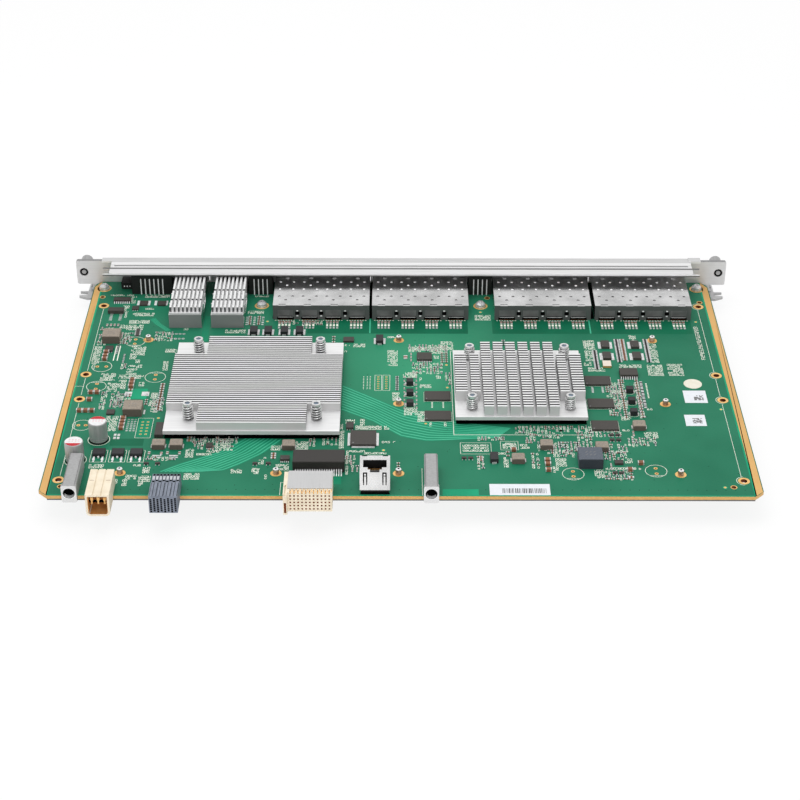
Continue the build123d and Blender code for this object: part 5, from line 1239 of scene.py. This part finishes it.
def dress_guides():
    """Each guide socket's bore in painted shade with painted light on its lower wall, a painted shade ring
    and a painted highlight ring round its mouth, and the seams of its top; the ferrules' bores in painted
    shade.
    """
    shade_black, pale_and_highlight, groove = parts["shade_black"], parts["pale_and_highlight"], parts["groove"]
    mouth, bore_z, top = -5.0, 4.8, 9.4
    for x, _ in centres("guide_socket_left") + centres("guide_socket_right"):
        # Painted shade in the bore, painted light on its lower wall, painted shade and highlight rings round
        # the mouth.
        shade_black.upright(x, -2.6, bore_z, 0.0, 2.97)
        groove.upright(x, mouth - 0.03, bore_z, 2.9, 3.15)
        shade_black.sleeve(x, bore_z, mouth + 0.03, -3.0, 2.86, start=-25, sweep=230)
        pale_and_highlight.sleeve(x, bore_z, mouth + 0.03, -2.6, 2.82, start=212, sweep=116)
        pale_and_highlight.upright(x, mouth - 0.04, bore_z, 3.15, 3.5)
        for side in SIDES:
            groove.line([(x + side * 3.0, -4.6), (x + side * 3.0, 26.3)], 0.22, top + SHEET)
    for low, high in islands("captive_ferrules"):
        x, _, z = (low + high) / 2
        # Painted shade in the ferrule's bore.
        shade_black.upright(x, low.y + 0.6, z, 1.45, 2.47)
        shade_black.sleeve(x, z, low.y + 0.02, low.y + 0.6, 2.47)


def dress_screws():
    """Blue-grey sockets of the spring screws with painted shade round their shanks, painted shade in the
    studs' holes, the reset's contacts.
    """
    for low, high in islands("heatsink_screws"):
        x, y = ((low + high) / 2).xy
        parts["socket_blue"].disc(x, y, 1.35, high.z - 0.5, 24)
        # Painted shade round the shank inside the spring.
        parts["shade_black"].tube(x, y, 2.02, 5.6, high.z - 1.6, 24)
    for low, high in islands("board_studs"):
        x, y = ((low + high) / 2).xy
        # Painted shade in the stud's hole.
        parts["shade_black"].disc(x, y, 0.6, high.z + SHEET, 16)
    for x in (-167.9, -166.2, -169.6):
        parts["pale_and_highlight"].across(x, 0.35, 223.9, 224.0, 1.6, 2.3)


def dress_blocks():
    """End caps on the ceramic capacitors and short printed strokes on the inductors."""
    lap, cap = 0.03, 0.45
    for low, high in islands("ceramic_capacitors"):
        x0, x1, y0, y1, top = low.x - lap, high.x + lap, low.y - lap, high.y + lap, high.z + lap
        if high.x - low.x >= high.y - low.y:
            parts["solder"].box(x0, x0 + cap, y0, y1, 0.0, top)
            parts["solder"].box(x1 - cap, x1, y0, y1, 0.0, top)
        else:
            parts["solder"].box(x0, x1, y0, y0 + cap, 0.0, top)
            parts["solder"].box(x0, x1, y1 - cap, y1, 0.0, top)
    for name in ("small_inductors", "medium_inductors", "large_inductor"):
        for low, high in islands(name):
            middle, unit = (low + high) / 2, (high.x - low.x) / 6
            for row in (-0.63, 0.63):
                for column in (-1, 0, 1):
                    x, y = middle.x + column * unit, middle.y + row * unit
                    points = [(x - unit * 0.3, y - unit * 0.35), (x + unit * 0.3, y + unit * 0.35)]
                    parts["ink_pale"].line(points, unit * 0.16, high.z + SHEET)


def dress_cans():
    """Sleeveless cans: a pale top with a red segment and pale strokes, a printed ring round the foot and a
    painted shadow ring at the foot.
    """
    for low, high in islands("electrolytic_cans"):
        (x, y), turn = ((low + high) / 2).xy, 90 if low.x > -170.0 else 270
        parts["can_top"].disc(x, y, 4.6, high.z + SHEET, 48)
        print_height = high.z + SHEET * 1.6
        parts["can_mark"].polygon(arc(x, y, 4.55, 16, turn - 66, 132), print_height)
        for i in range(4):
            for row in (-0.5, 0.9):
                left, near = x - 2.6 + 1.6 * i, y + (row if turn == 270 else -row) + 0.3
                parts["can_ink"].flat(left, left + 0.9, near, near + 0.5, print_height)
        parts["silk"].ring(x, y, 5.7, 6.0, sides=48)
        # Painted shadow round the can's foot.
        parts["shade_black"].ring(x, y, 4.4, 5.3, SHEET * 0.8, sides=40)


# Light and floor

def add_floor():
    """A pale floor that keeps the card's soft shadow and shows white round it."""
    material = bpy.data.materials.new("floor")
    tree = Tree(material)
    cloud = tree.node("ShaderNodeTexNoise", {"Scale": 3.0}).outputs["Fac"]
    colour = tree.ramp(cloud, (0.90, 0.90, 0.90, 1.0), (0.92, 0.92, 0.92, 1.0), 0.0, 1.0)
    shader = tree.tree.nodes["Principled BSDF"]
    tree.feed(shader, {"Base Color": colour, "Roughness": 0.8})
    glow = tree.node("ShaderNodeEmission", {"Strength": 1.0}).outputs["Emission"]
    share = tree.maths("MULTIPLY", tree.camera_ray(), 0.86)
    mixed = tree.node("ShaderNodeMixShader", {"Fac": share, 1: shader.outputs["BSDF"], 2: glow})
    tree.feed(tree.tree.nodes["Material Output"], {"Surface": mixed.outputs["Shader"]})
    reach = 6.0
    corners = [(-reach, -reach, 0.0), (reach, -reach, 0.0), (reach, reach, 0.0), (-reach, reach, 0.0)]
    mesh = bpy.data.meshes.new("floor")
    mesh.from_pydata(corners, [], [(0, 1, 2, 3)])
    mesh.materials.append(material)
    floor = bpy.data.objects.new("floor", mesh)
    bpy.context.scene.collection.objects.link(floor)


def add_world():
    """White to the eye; for the metal, a bright wall behind the panel and a dimmer room in front."""
    world = bpy.data.worlds.new("world")
    bpy.context.scene.world = world
    tree = Tree(world)
    depth = tree.part(tree.node("ShaderNodeTexCoord").outputs["Generated"], "Y")
    share = tree.maths("MULTIPLY_ADD", depth, 0.5, 0.5)
    light = tree.ramp(share, (0.42, 0.42, 0.43, 1.0), (0.95, 0.95, 0.95, 1.0), 0.15, 0.75)
    colour = tree.mix(tree.camera_ray(), light, (1.0, 1.0, 1.0, 1.0))
    tree.feed(tree.tree.nodes["Background"], {"Color": colour, "Strength": 1.0})


def add_lamp(name, spot, target, size, power):
    """A soft rectangular lamp at a spot, aimed at a target, in metres."""
    data = bpy.data.lights.new(name, "AREA")
    data.shape = "RECTANGLE"
    data.size, data.size_y = size
    data.energy = power
    lamp = bpy.data.objects.new(name, data)
    lamp.location = spot
    lamp.rotation_euler = (Vector(target) - Vector(spot)).to_track_quat("-Z", "Y").to_euler()
    bpy.context.scene.collection.objects.link(lamp)


def main():
    add_camera()
    add_floor()
    add_world()
    add_lamp("overhead", (-0.15, 0.15, 1.1), (0.0, 0.0, 0.0), (1.2, 0.8), 6.5)
    add_lamp("front", (0.1, -1.3, 0.55), (0.0, -0.05, 0.0), (1.2, 0.5), 7.0)
    bpy.context.scene.view_settings.view_transform = "Standard"
    make_materials()
    set_materials()
    make_batches()
    for add_detail in (
        board_ground, board_holes, board_print, board_pads, pad_rows, small_parts, package_detail, labels,
        dress_cages, dress_power, dress_signal, dress_grid, dress_jack, dress_guides, dress_screws,
        dress_cans, dress_blocks,
    ):
        add_detail()
    for batch in parts.values():
        batch.finish()
    dress_springs()


main()
